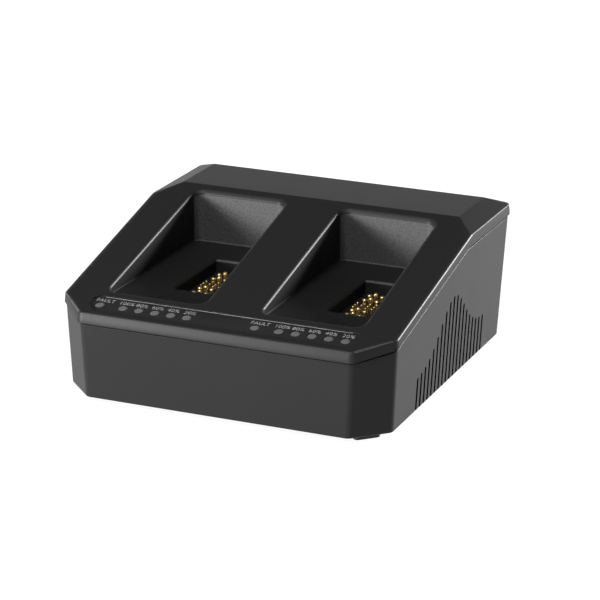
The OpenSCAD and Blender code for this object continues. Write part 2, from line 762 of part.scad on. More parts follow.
module supply_board() color([0.5, 0.36, 0.2]) placed() difference() {
    board_plate(supply_half, supply_front, supply_l);
    at_supply_posts() screw_holes();
}

module board_screws() color(steel) placed() {
    at_charge_posts() board_screw();
    at_supply_posts() board_screw();
}
module board_screw() translate([0, 0, board_top]) rotate([180, 0, 0])
    screw(board_screw_d, post_h - bite_spare, board_head_d, board_head_h);

// Parts stand at x and y from the centre of their board, as shares of its half width and length
module on_charge(x, y) translate([x * charge_half, charge_mid + y * charge_l, board_top]) children();
module on_supply(x, y)
    translate([x * supply_half, supply_front + (0.5 + y) * supply_l, board_top]) children();

module chip(size) translate([-size[0] / 2, -size[1] / 2, 0]) cube(size);

module charge_chips() color(dark) placed() both_sides() {
    on_charge(0.19, 0.06) chip(controller);
    for (y = [-0.25, -0.15, 0.3]) on_charge(0.125, y) chip(driver);
    on_charge(0.375, 0.36) chip(regulator);
}

module power_inductors() color(grey) placed() both_sides() for (y = [-0.25, -0.08])
    on_charge(0.375, y) {
        cylinder(d = inductor_d, h = inductor_flange_t);
        cylinder(d = inductor_coil_d, h = inductor_h - inductor_flange_t);
        translate([0, 0, inductor_h - inductor_flange_t]) cylinder(d = inductor_d, h = inductor_flange_t);
    }

// A capacitor can: size holds its diameter and height
module can(size) rotate_extrude() {
    square([size[0] / 2 - can_edge, size[1]]);
    square([size[0] / 2, size[1] - can_edge]);
    translate([size[0] / 2 - can_edge, size[1] - can_edge]) circle(can_edge);
}

module output_capacitors() color([0.12, 0.14, 0.3]) placed() both_sides()
    for (p = [[0.34, 0.13], [0.34, 0.235], [0.19, 0.4]]) on_charge(p[0], p[1]) can(output_can);

module heat_sink(side) color(steel) placed() on_charge(side, 0.075)
    translate([-sink_w / 2 - side * (sink_w / 2 + 1), -sink_l / 2, 0]) {
        cube([sink_w, sink_l, sink_base_t]);
        for (i = [0:sink_fins - 1])
            translate([i * (sink_w - sink_fin_t) / (sink_fins - 1), 0, 0])
                cube([sink_fin_t, sink_l, sink_h]);
    }

// The flat lead from the indicator board hangs from a plug under it to a socket on the charge board
module indicator_cable() color(grey) placed() {
    plug_top = indicator_top - board_t;
    plug_y = up(window_y) * cos(deck_tilt) - plug_top * sin(deck_tilt);
    plug_z = front_h + window_y * k + plug_top * cos(deck_tilt);
    socket_y = charge_front + plug[1];
    translate([-14, 0, 0]) {
        on_deck() translate([-plug[0] / 2, up(window_y) - plug[1] / 2, plug_top - plug[2]]) cube(plug);
        translate([-plug[0] / 2, socket_y - plug[1] / 2, board_top]) cube(plug);
        strip([[socket_y, board_top + plug[2] / 2], [socket_y + 1, board_top + 2 * plug[2]],
               [socket_y - 1, plug_z - 2 * plug[2]], [plug_y + 0.5, plug_z - plug[2] / 2]],
              cable_w, cable_t);
    }
}

// Power supply

module transformer_core() color([0.16, 0.16, 0.17]) placed() on_supply(core_x, -0.05) difference() {
    translate([-core[0] / 2, -core[1] / 2, 0]) cube(core);
    for (x = [-core[0] / 2 + leg, leg / 2]) translate([x, -core[1], leg * 0.7])
        cube([core[0] / 2 - 1.5 * leg, 2 * core[1], core[2] - 1.4 * leg]);
}

module transformer_winding() color([0.75, 0.6, 0.2]) placed() on_supply(core_x, -0.05) {
    h = core[2] - 1.4 * leg - 0.4;
    translate([0, 0, leg * 0.7 + 0.2]) linear_extrude(h) difference() {
        rounded(core[0] - 2 * leg - 0.4, core[1] + 9, 2);
        square([leg + 0.4, core[1] + 0.4], center = true);
    }
    for (y = [-1, 1]) translate([-5, y * (core[1] / 2 + 2.6) - 1, 0]) cube([10, 2, leg]);
}

module bulk_capacitor() color([0.1, 0.1, 0.12]) placed()
    on_supply(0, (bulk_front + bulk_can[0] / 2) / supply_l - 0.5) can(bulk_can);

module line_choke() color([0.62, 0.3, 0.12]) placed() on_supply(-0.32, 0.06)
    translate([0, 0, choke_wire_r]) rotate_extrude() translate([choke_r, 0]) circle(choke_wire_r);

module bridge_rectifier() color(dark) placed() on_supply(rectifier_x / supply_half, -0.37) difference() {
    chip(rectifier);
    translate([0, -rectifier[1], rectifier[2] * 0.7]) rotate([-90, 0, 0])
        cylinder(d = case_screw_d, h = 2 * rectifier[1]);
}

module fuse() color([0.8, 0.8, 0.78]) placed() on_supply(-inlet_x / supply_half, -0.38) {
    z = fuse_cap_d / 2 + 0.6;
    translate([-fuse_l / 2, 0, z]) rotate([0, 90, 0]) cylinder(d = fuse_d, h = fuse_l);
    for (side = [-1, 1]) translate([side * (fuse_l + 1) / 2, 0, 0]) {
        translate([-fuse_cap_l / 2, 0, z]) rotate([0, 90, 0]) cylinder(d = fuse_cap_d, h = fuse_cap_l);
        chip([2, 4, z]);
    }
}

module supply_heat_sink() color(steel) placed() on_supply(0.73, -0.02)
    translate([0, -supply_sink[1] / 2, 0]) {
        cube([supply_sink_t, supply_sink[1], supply_sink[2]]);
        for (z = [2:4:supply_sink[2] - 2]) translate([0, 0, z])
            cube([supply_sink[0], supply_sink[1], sink_fin_t]);
    }

// A frame on the outside of the rear wall, at the inlet, with z straight out of the drafted wall
module at_inlet() translate([-inlet_x, low_rear(inlet_z), inlet_z]) rotate([-90 - draft, 0, 0]) children();

module inlet_body() color(dark) placed() at_inlet() difference() {
    union() {
        slab(inlet_w + 2 * inlet_t + 2 * inlet_flange, inlet_h + 2 * inlet_t + 2 * inlet_flange,
             2, 0, inlet_flange_t);
        slab(inlet_w + 2 * inlet_t, inlet_h + 2 * inlet_t, inlet_r, -inlet_socket_l - inlet_t,
             inlet_socket_l + inlet_t + eps);
    }
    slab(inlet_w, inlet_h, inlet_r, -inlet_socket_l, inlet_socket_l + 2 * inlet_flange_t);
    at_inlet_pins() translate([0, 0, -inlet_socket_l - 2 * inlet_t])
        cylinder(d = inlet_pin_d, h = 3 * inlet_t);
}
module at_inlet_pins() for (x = [-1, 1]) translate([x * inlet_pin_pitch / 2, 0, 0]) children();

module inlet_pins() color(steel) placed() at_inlet() at_inlet_pins() {
    length = inlet_socket_l + inlet_t + pin_tail - pin_set_back;
    translate([0, 0, -pin_set_back]) sphere(d = inlet_pin_d);
    translate([0, 0, -pin_set_back - length]) cylinder(d = inlet_pin_d, h = length);
}

// Each inlet lead leaves its pin forward, turns down and ends on the supply board
module inlet_leads() color([0.35, 0.2, 0.12]) placed() {
    back = inlet_socket_l + inlet_t + pin_tail;
    y = low_rear(inlet_z) - back * cos(draft);
    z = inlet_z + back * sin(draft);
    for (x = [-1, 1]) translate([x * inlet_pin_pitch / 2 - inlet_x, y - lead_start, z]) {
        rotate([-90, 0, 0]) cylinder(d = lead_d, h = lead_start);
        translate([0, 0, -lead_bend]) rotate([90, 0, -90]) rotate_extrude(angle = 90)
            translate([lead_bend, 0]) circle(d = lead_d);
        translate([0, -lead_bend, board_top - z]) cylinder(d = lead_d, h = z - lead_bend - board_top);
    }
}

// The supply leads arch over the gap between the boards
module supply_leads() color([0.6, 0.08, 0.06]) placed() for (x = [-3, -1, 1, 3]) {
    arch = board_split / 2 + 4;
    rise = 3;
    translate([x * 2, supply_front - board_split / 2, board_top + rise]) {
        rotate([90, 0, 90]) rotate_extrude(angle = 180) translate([arch, 0]) circle(d = lead_d);
        for (y = [-arch, arch]) translate([0, y, -rise]) cylinder(d = lead_d, h = rise);
    }
}

top_cover();
lower_housing();
foot(-1, false);  // foot_front_left
foot(1, false);  // foot_front_right
foot(-1, true);  // foot_rear_left
foot(1, true);  // foot_rear_right
case_screws();
indicator_overlay();
light_guide(-1);  // light_guide_left
light_guide(1);  // light_guide_right
indicator_board();
indicator_leds();
indicator_board_screws();
contact_block(-1);  // contact_block_left
contact_block(1);  // contact_block_right
contact_board(-1);  // contact_board_left
contact_board(1);  // contact_board_right
contact_screws(-1);  // contact_screws_left
contact_screws(1);  // contact_screws_right
power_barrels(-1);  // power_barrels_left
power_barrels(1);  // power_barrels_right
signal_barrels(-1);  // signal_barrels_left
signal_barrels(1);  // signal_barrels_right
power_plungers(-1);  // power_plungers_left
power_plungers(1);  // power_plungers_right
signal_plungers(-1);  // signal_plungers_left
signal_plungers(1);  // signal_plungers_right
contact_cable(-1);  // contact_cable_left
contact_cable(1);  // contact_cable_right
charge_board();
charge_chips();
power_inductors();
output_capacitors();
heat_sink(-1);  // heat_sink_left
heat_sink(1);  // heat_sink_right
indicator_cable();
supply_board();
board_screws();
transformer_core();
transformer_winding();
bulk_capacitor();
line_choke();
bridge_rectifier();
fuse();
supply_heat_sink();
inlet_body();
inlet_pins();
inlet_leads();
supply_leads();
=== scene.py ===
"""The visible model of a two-bay battery charger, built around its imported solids.

The mouldings, contacts, windows, marks, feet and inlet are modelled in millimetres in the
housing's own frame: x across, y back from the front edge of the deck and z up from the bottom
edge of the housing. The method settle() brings each finished piece to the part's frame in metres.
"""
import sys
import logging
import math
from contextlib import contextmanager
from dataclasses import dataclass, field
from enum import Enum
from typing import Callable, Iterator, Sequence

import bmesh
import bpy
from mathutils import Matrix, Vector


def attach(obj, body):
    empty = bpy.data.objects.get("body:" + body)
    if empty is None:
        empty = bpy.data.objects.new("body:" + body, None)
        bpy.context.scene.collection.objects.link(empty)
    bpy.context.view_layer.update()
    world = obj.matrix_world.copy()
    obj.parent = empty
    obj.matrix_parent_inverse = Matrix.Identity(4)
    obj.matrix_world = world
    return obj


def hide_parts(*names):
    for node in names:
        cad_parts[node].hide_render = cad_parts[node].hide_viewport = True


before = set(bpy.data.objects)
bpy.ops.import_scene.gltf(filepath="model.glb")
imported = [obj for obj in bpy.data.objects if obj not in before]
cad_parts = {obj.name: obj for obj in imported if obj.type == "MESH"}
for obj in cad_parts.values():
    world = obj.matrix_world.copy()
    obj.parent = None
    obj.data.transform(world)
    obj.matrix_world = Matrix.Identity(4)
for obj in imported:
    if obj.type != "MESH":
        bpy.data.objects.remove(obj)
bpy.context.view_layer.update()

log = logging.getLogger("charger")
Point = tuple[float, float, float]
Pair = tuple[float, float]
Piece = bpy.types.Object
Tree = bpy.types.NodeTree
Socket = bpy.types.NodeSocket
Edge = bmesh.types.BMEdge
Face = bmesh.types.BMFace
MM = 0.001
CASE_DEPTH = 163.0  # From front to rear, in millimetres
FOOT_HEIGHT = 2.0
HAIR = 0.01  # Closer than this, in millimetres, two places are the same
MERGE = 0.002  # Closer than this, two vertices become one
FLAT = math.radians(0.3)  # At a smaller angle two faces are in one plane
SPARE = 1.0  # How far a tool runs past what it cuts
NOISE_RANGE = (0.3, 0.7)  # Where nearly all the values of a noise are


class Body(Enum):
    """The moving bodies of the part."""

    CHARGER = "charger"
    LEFT_PLUNGERS = "left_plungers"
    RIGHT_PLUNGERS = "right_plungers"


class Side(Enum):
    """The two halves of the charger, as signs along x."""

    LEFT = -1
    RIGHT = 1

    @property
    def word(self) -> str:
        """The side's name in the names of pieces and nodes."""
        return self.name.lower()

    @property
    def plungers(self) -> Body:
        """The body that this side's plungers ride on."""
        return Body.LEFT_PLUNGERS if self is Side.LEFT else Body.RIGHT_PLUNGERS


class Cut(Enum):
    """What a boolean does with its tool."""

    AWAY = "DIFFERENCE"
    TOGETHER = "UNION"
    COMMON = "INTERSECT"


class Pick(Enum):
    """The kinds of mesh element that a selection works on."""

    EDGES = "EDGE"
    FACES = "FACE"


# Handling of objects and selections


def focus(piece: Piece) -> None:
    """Selects one object alone and makes it the active one.

    Args:
        piece: The object.
    """
    bpy.ops.object.select_all(action="DESELECT")
    piece.select_set(True)
    bpy.context.view_layer.objects.active = piece


@contextmanager
def editing(piece: Piece, kind: Pick = Pick.FACES) -> Iterator[bmesh.types.BMesh]:
    """Holds an object in edit mode with nothing selected.

    Args:
        piece: The object.
        kind: The kind of element to select.

    Returns:
        The mesh under edit.
    """
    focus(piece)
    bpy.ops.object.mode_set(mode="EDIT")
    bpy.ops.mesh.select_mode(type=kind.value)
    bpy.ops.mesh.select_all(action="DESELECT")
    yield bmesh.from_edit_mesh(piece.data)
    bpy.ops.object.mode_set(mode="OBJECT")


def choose(piece: Piece, kind: Pick, test: Callable) -> int:
    """Selects the elements of the mesh under edit that pass a test, and no others.

    Args:
        piece: The object in edit mode.
        kind: The kind of element.
        test: Takes an element and says whether it is wanted.

    Returns:
        How many were selected.
    """
    bpy.ops.mesh.select_mode(type=kind.value)
    bpy.ops.mesh.select_all(action="DESELECT")
    mesh = bmesh.from_edit_mesh(piece.data)
    parts = mesh.edges if kind is Pick.EDGES else mesh.faces
    wanted = [part for part in parts if test(part)]
    for part in wanted:
        part.select_set(True)
    mesh.select_flush_mode()
    bmesh.update_edit_mesh(piece.data)
    return len(wanted)


def join(pieces: Sequence[Piece], name: str) -> Piece:
    """Joins objects into the first of them.

    Args:
        pieces: The objects, at least one.
        name: The name of the result.

    Returns:
        The joined object.
    """
    focus(pieces[0])
    for piece in pieces[1:]:
        piece.select_set(True)
    if len(pieces) > 1:
        bpy.ops.object.join()
    pieces[0].name = pieces[0].data.name = name
    return pieces[0]


def set_down(piece: Piece) -> Piece:
    """Applies an object's place, turn and scale to its mesh.

    Args:
        piece: The object.

    Returns:
        The same object.
    """
    focus(piece)
    bpy.ops.object.transform_apply(location=True, rotation=True, scale=True)
    return piece


def set_at(piece: Piece, place: Point, angle: float, axis: str) -> Piece:
    """Turns an object about the origin, moves it and applies both."""
    piece.matrix_world = Matrix.Translation(place) @ Matrix.Rotation(angle, 4, axis)
    return set_down(piece)


def apply_all(piece: Piece) -> None:
    """Applies every modifier of an object, first to last.

    Args:
        piece: The object.
    """
    focus(piece)
    for modifier in list(piece.modifiers):
        bpy.ops.object.modifier_apply(modifier=modifier.name)


def carve(piece: Piece, tool: Piece, how: Cut) -> None:
    """Cuts or joins a closed mesh with a closed tool, which is used up.

    Args:
        piece: The mesh that is kept.
        tool: The tool.
        how: What to do with it.
    """
    modifier = piece.modifiers.new("carve", "BOOLEAN")
    modifier.operation = how.value
    modifier.solver = "MANIFOLD"
    modifier.object = tool
    apply_all(piece)
    bpy.data.objects.remove(tool)


def tidy(piece: Piece) -> None:
    """Merges doubles and joins the faces that lie in one plane.

    Args:
        piece: The object.
    """
    with editing(piece):
        bpy.ops.mesh.select_all(action="SELECT")
        bpy.ops.mesh.remove_doubles(threshold=MERGE)
        bpy.ops.mesh.dissolve_limited(angle_limit=FLAT)


def bevel(piece: Piece, test: Callable[[Edge], bool], offset: float, segments: int = 1) -> None:
    """Rounds or cuts off the edges that pass a test.

    Args:
        piece: The object.
        test: Takes an edge and says whether it is wanted.
        offset: The width of the bevel.
        segments: How many faces it is made of.
    """
    with editing(piece, Pick.EDGES):
        found = choose(piece, Pick.EDGES, test)
        bpy.ops.mesh.bevel(offset=offset, segments=segments, clamp_overlap=False)
    log.debug("%s: %d edges by %g", piece.name, found, offset)


def draw_up(rise: float, grow: float = 1.0) -> None:
    """Extrudes what is selected upwards and then scales it in plan.

    Args:
        rise: How far up it goes.
        grow: How many times as wide it gets.
    """
    bpy.ops.mesh.extrude_region_move(TRANSFORM_OT_translate={"value": (0, 0, rise)})
    if grow != 1.0:
        bpy.ops.transform.resize(value=(grow, grow, 1))


def top_faces(face: Face) -> bool:
    """Whether a face looks up."""
    return face.normal.z > 0.9


def smooth(piece: Piece, angle: float = 32.0) -> None:
    """Shades an object smooth, with its flat faces flat and its sharp edges sharp.

    Args:
        piece: The object.
        angle: The angle, in degrees, from which an edge stays sharp.
    """
    focus(piece)
    bpy.ops.object.shade_smooth_by_angle(angle=math.radians(angle))
    modifier = piece.modifiers.new("flat_faces", "WEIGHTED_NORMAL")
    modifier.keep_sharp = True
    apply_all(piece)


# Simple starts for the pieces, in millimetres


def block(low: Point, high: Point) -> Piece:
    """Adds a box between two corners.

    Args:
        low: The lowest corner.
        high: The highest corner.

    Returns:
        The box.
    """
    bpy.ops.mesh.primitive_cube_add(size=1, location=[(a + b) / 2 for a, b in zip(low, high)])
    piece = bpy.context.object
    piece.scale = [b - a for a, b in zip(low, high)]
    return set_down(piece)


def round_bar(radius: float, base: Point, height: float, sides: int = 32) -> Piece:
    """Adds an upright cylinder.

    Args:
        radius: Its radius.
        base: The centre of its lower end.
        height: Its height.
        sides: How many sides it has.

    Returns:
        The cylinder.
    """
    place = (base[0], base[1], base[2] + height / 2)
    bpy.ops.mesh.primitive_cylinder_add(vertices=sides, radius=radius, depth=height, location=place)
    return set_down(bpy.context.object)


def rounded_plate(width: float, length: float, radius: float, low: float, high: float,
                  middle: Pair = (0.0, 0.0), steps: int = 8) -> Piece:
    """Adds an upright prism over a rounded rectangle.

    Args:
        width: Its size along x.
        length: Its size along y.
        radius: The radius of its upright edges.
        low: The height of its lower face.
        high: The height of its upper face.
        middle: Its centre in plan.
        steps: How many faces round each corner has.

    Returns:
        The prism.
    """
    x, y = middle
    piece = block((x - width / 2, y - length / 2, low), (x + width / 2, y + length / 2, high))
    bevel(piece, upright, radius, steps)
    return piece


def upright(edge: Edge) -> bool:
    """Whether an edge runs straight up."""
    run = edge.verts[1].co - edge.verts[0].co
    return math.hypot(run.x, run.y) < 1e-4


def by_wall(edge: Edge) -> bool:
    """Whether an edge is on the border of an upright face."""
    return any(abs(f.normal.z) < 0.1 for f in edge.link_faces)


def hull(points: Sequence[Piece], name: str) -> Piece:
    """Stretches one closed skin over several small objects.

    Args:
        points: The objects.
        name: The name of the result.

    Returns:
        The skin.
    """
    piece = join(points, name)
    with editing(piece):
        bpy.ops.mesh.select_all(action="SELECT")
        bpy.ops.mesh.convex_hull(use_existing_faces=False, join_triangles=False)
        bpy.ops.mesh.select_all(action="SELECT")
        bpy.ops.mesh.normals_make_consistent(inside=False)
    return piece


def ring(outer: float, section: float, place: Point) -> Piece:
    """Adds the rounded end of an upright edge: a ring, or a ball where a ring would close up.

    Args:
        outer: The outer radius.
        section: The radius of the rounding.
        place: The centre.

    Returns:
        The ring or ball.
    """
    if outer < 2 * section:
        bpy.ops.mesh.primitive_uv_sphere_add(segments=32, ring_count=16, radius=outer,
                                             location=place)
    else:
        bpy.ops.mesh.primitive_torus_add(major_radius=outer - section, minor_radius=section,
                                         major_segments=48, minor_segments=24, location=place)
    return set_down(bpy.context.object)


def hoop(radius: float, place: Point) -> Piece:
    """Adds a bare circle, to stretch a skin over."""
    bpy.ops.mesh.primitive_circle_add(vertices=48, radius=radius, location=place)
    return set_down(bpy.context.object)


def copies(piece: Piece, places: Sequence[Point], name: str) -> Piece:
    """Repeats a piece, each copy with its own mesh, and joins them all.

    Args:
        piece: The first one, at the origin.
        places: Where the copies go.
        name: The name of the result.

    Returns:
        The joined copies.
    """
    made = []
    for place in places:
        focus(piece)
        bpy.ops.object.duplicate(linked=False)
        copy = bpy.context.object
        copy.location = place
        made.append(set_down(copy))
    bpy.data.objects.remove(piece)
    return join(made, name)


# Shader nodes and finishes


def connect(node: bpy.types.Node, entry: Socket, value: object) -> None:
    """Links an input of a node to a socket, or sets it to a value.

    Args:
        node: The node.
        entry: The input.
        value: The socket or value.
    """
    if isinstance(value, Socket):
        node.id_data.links.new(value, entry)
    else:
        entry.default_value = value


def set_inputs(node: bpy.types.Node, **values: object) -> bpy.types.Node:
    """Sets or links inputs of a node.

    Args:
        node: The node.
        values: A value or a socket for each input, by name with _ for a space.

    Returns:
        The node.
    """
    for key, value in values.items():
        connect(node, node.inputs[key.replace("_", " ")], value)
    return node


def add_node(tree: Tree, kind: str, **values: object) -> bpy.types.Node:
    """Adds a node and sets or links its inputs by name."""
    return set_inputs(tree.nodes.new(kind), **values)


def compute(tree: Tree, operation: str, *terms: Socket | float) -> Socket:
    """Adds a math node.

    Args:
        tree: The node tree.
        operation: What it does.
        terms: Its terms, each a socket or a number.

    Returns:
        Its value.
    """
    made = tree.nodes.new("ShaderNodeMath")
    made.operation = operation
    for entry, term in zip(made.inputs, terms):
        connect(made, entry, term)
    return made.outputs["Value"]


def new_material(name: str) -> tuple[bpy.types.Material, Tree, bpy.types.Node]:
    """Makes a material with a plain shader.

    Args:
        name: Its name.

    Returns:
        The material, its node tree and its shader.
    """
    made = bpy.data.materials.new(name)
    made.use_nodes = True
    return made, made.node_tree, made.node_tree.nodes["Principled BSDF"]


@dataclass(frozen=True)
class Finish:
    """A finish with a fine grain in the surface and a broad change of shade.

    Every pattern reads Object coordinates, and every size is in millimetres.
    """

    name: str
    slot: str
    colour: Point
    shade: float = 0.12
    rough: float = 0.5
    rough_spread: float = 0.06
    grain: float = 0.5
    depth: float = 0.02
    cloud: float = 30.0
    metal: float = 0.0
    specular: float = 0.5
    coat: float = 0.0
    coat_rough: float = 0.2
    stretch: Point = (1.0, 1.0, 1.0)
    cloud_detail: float = 4.0
    wear_share: float = 0.3
    wear_detail: float = 5.0

    def noise(self, tree: Tree, place: Socket, size: float, detail: float = 2.0) -> Socket:
        """Adds a noise whose features have a given size in millimetres."""
        return add_node(tree, "ShaderNodeTexNoise", Vector=place, Scale=1 / (size * MM),
                        Detail=detail).outputs["Fac"]

    def spread(self, tree: Tree, value: Socket, low: float, high: float) -> Socket:
        """Stretches the middle of a noise's range to two limits."""
        return add_node(tree, "ShaderNodeMapRange", Value=value, From_Min=NOISE_RANGE[0],
                        From_Max=NOISE_RANGE[1], To_Min=low, To_Max=high).outputs["Result"]

    def colour_of(self, tree: Tree, place: Socket) -> Socket:
        """Adds the colour: two near shades in broad clouds.

        Args:
            tree: The node tree.
            place: The coordinates.

        Returns:
            The colour.
        """
        clouds = self.spread(tree, self.noise(tree, place, self.cloud, self.cloud_detail), 0, 1)
        made = tree.nodes.new("ShaderNodeMix")
        made.data_type = "RGBA"
        dark = [c * (1 - self.shade) for c in self.colour]
        light = [min(1.0, c * (1 + self.shade)) for c in self.colour]
        return set_inputs(made, Factor=clouds, A=(*dark, 1), B=(*light, 1)).outputs["Result"]

    def height_of(self, tree: Tree, place: Socket) -> Socket:
        """Adds the height of the grain, from 0 to 1."""
        return self.noise(tree, place, self.grain)

    def material(self) -> bpy.types.Material:
        """Builds the material, or finds it if it is built already.

        Returns:
            The material.
        """
        if self.name in bpy.data.materials:
            return bpy.data.materials[self.name]
        made, tree, shader = new_material(self.name)
        mapping = add_node(tree, "ShaderNodeMapping", Scale=self.stretch,
                           Vector=tree.nodes.new("ShaderNodeTexCoord").outputs["Object"])
        place = mapping.outputs["Vector"]
        wear = self.noise(tree, place, self.cloud * self.wear_share, self.wear_detail)
        bump = add_node(tree, "ShaderNodeBump", Strength=1.0, Distance=self.depth * MM,
                        Height=self.height_of(tree, place))
        set_inputs(shader, Metallic=self.metal, Specular_IOR_Level=self.specular,
                   Coat_Weight=self.coat, Coat_Roughness=self.coat_rough,
                   Base_Color=self.colour_of(tree, place), Normal=bump.outputs["Normal"],
                   Roughness=self.spread(tree, wear, self.rough - self.rough_spread,
                                         self.rough + self.rough_spread))
        return made


@dataclass(frozen=True)
class ErodedPlastic(Finish):
    """Moulded plastic with the grain of a spark-eroded tool: round pits over a finer noise."""

    pit_weight: float = 0.6
    fine_share: float = 0.8

    def height_of(self, tree: Tree, place: Socket) -> Socket:
        """Adds the height of the grain: pits over a finer noise.

        Args:
            tree: The node tree.
            place: The coordinates.

        Returns:
            The height.
        """
        pits = add_node(tree, "ShaderNodeTexVoronoi", Vector=place, Scale=1 / (self.grain * MM))
        pits.feature = "SMOOTH_F1"
        return compute(tree, "MULTIPLY_ADD", pits.outputs["Distance"], self.pit_weight,
                       self.noise(tree, place, self.grain * self.fine_share))


HOUSING = ErodedPlastic("moulded_black", "housing_black", (0.0205, 0.0203, 0.0207), shade=0.03,
                        grain=0.6, depth=0.02, rough=0.4, rough_spread=0.01, specular=0.16,
                        cloud=45.0)
# The bays' rear walls and the wells' rear lead-ins get a lighter copy of the cover's black, a
# painted light, and the other walls and floors of the bays a darker copy, a painted shade; these
# tones are fitted to the photograph, though the cover is one moulding
BAY_BACK_PAINTED_LIGHT = ErodedPlastic("bay_back_painted_light", "housing_black", (0.07, 0.0696, 0.0707), shade=0.3,
                         grain=0.9, depth=0.08, rough=0.6, specular=0.4, cloud=1.1)
# The bays' walls and floors: a darker copy of the black, painted shade.
BAY_SIDE_PAINTED_SHADE = ErodedPlastic("bay_side_painted_shade", "housing_black", (0.016, 0.0158, 0.0162), shade=0.2,
                         grain=0.9, depth=0.06, rough=0.6, specular=0.2, cloud=1.1)
# Near black on the faces inside the vent slots: painted shade.
SLOT_PAINTED_SHADE = Finish("slot_shadow", "housing_black", (0.004, 0.004, 0.004), rough=0.8, specular=0.03)
FILM = Finish("overlay_satin", "overlay_film", (0.022, 0.022, 0.023), grain=0.3, depth=0.006,
              rough=0.45, specular=0.25)
# The grey of the printed marks, also used for a painted highlight along the film's rear edge.
PRINT_AND_PAINTED_GLINT = Finish("print_and_painted_glint_grey", "overlay_film", (0.42, 0.42, 0.42), grain=0.3, depth=0.01, rough=0.6)
LENS = Finish("window_frosted", "light_guide", (0.16, 0.16, 0.163), grain=0.25, depth=0.01,
              rough=0.4, coat=0.3)
RUBBER = Finish("foot_rubber", "foot_rubber", (0.02, 0.02, 0.02), grain=0.4, depth=0.03, rough=0.8)
INSULATOR = Finish("contact_moulding", "insulator_black", (0.01, 0.01, 0.0105))
GOLD = Finish("contact_gold", "contact_gold", (1.0, 0.86, 0.58), shade=0.05, rough=0.46, grain=0.2,
              depth=0.002, cloud=3.0, metal=1.0)
SLEEVE = Finish("barrel_gold", "contact_gold", (0.3, 0.21, 0.1), shade=0.1, grain=0.2, metal=1.0)
STEEL = Finish("zinc_plate", "screw_steel", (0.6, 0.61, 0.63), rough=0.35, grain=0.3, depth=0.01,
               cloud=4.0, metal=1.0)


# Assemblies


class Assembly:
    """What every sub-assembly does with a finished piece."""

    def settle(self, piece: Piece, finish: Finish, body: Body = Body.CHARGER,
               stands_for: Sequence[str] = (),
               patches: Sequence[tuple[Finish, Callable]] = ()) -> Piece:
        """Brings a piece to the part's frame, gives it its finish, hangs it on its body and hides
        the solids that it stands for.

        Args:
            piece: The finished piece, in millimetres in the housing's frame.
            finish: Its finish.
            body: The body that it rides on.
            stands_for: The solids that it stands for.
            patches: Other finishes, each with a test that takes a face in millimetres.

        Returns:
            The piece.
        """
        piece.data.materials.clear()
        piece.data.materials.append(finish.material())
        for other, test in patches:
            piece.data.materials.append(other.material())
            with editing(piece):
                found = choose(piece, Pick.FACES, test)
                piece.active_material_index = len(piece.data.materials) - 1
                bpy.ops.object.material_slot_assign()
            log.info("%s: %d faces in %s", piece.name, found, other.name)
        move = Matrix.Translation((0, -CASE_DEPTH / 2 * MM, FOOT_HEIGHT * MM))
        piece.matrix_world = move @ Matrix.Scale(MM, 4)
        set_down(piece)
        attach(piece, body.value)
        if stands_for:
            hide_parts(*stands_for)
        log.info("%s: %d faces on %s", piece.name, len(piece.data.polygons), body.value)
        return piece


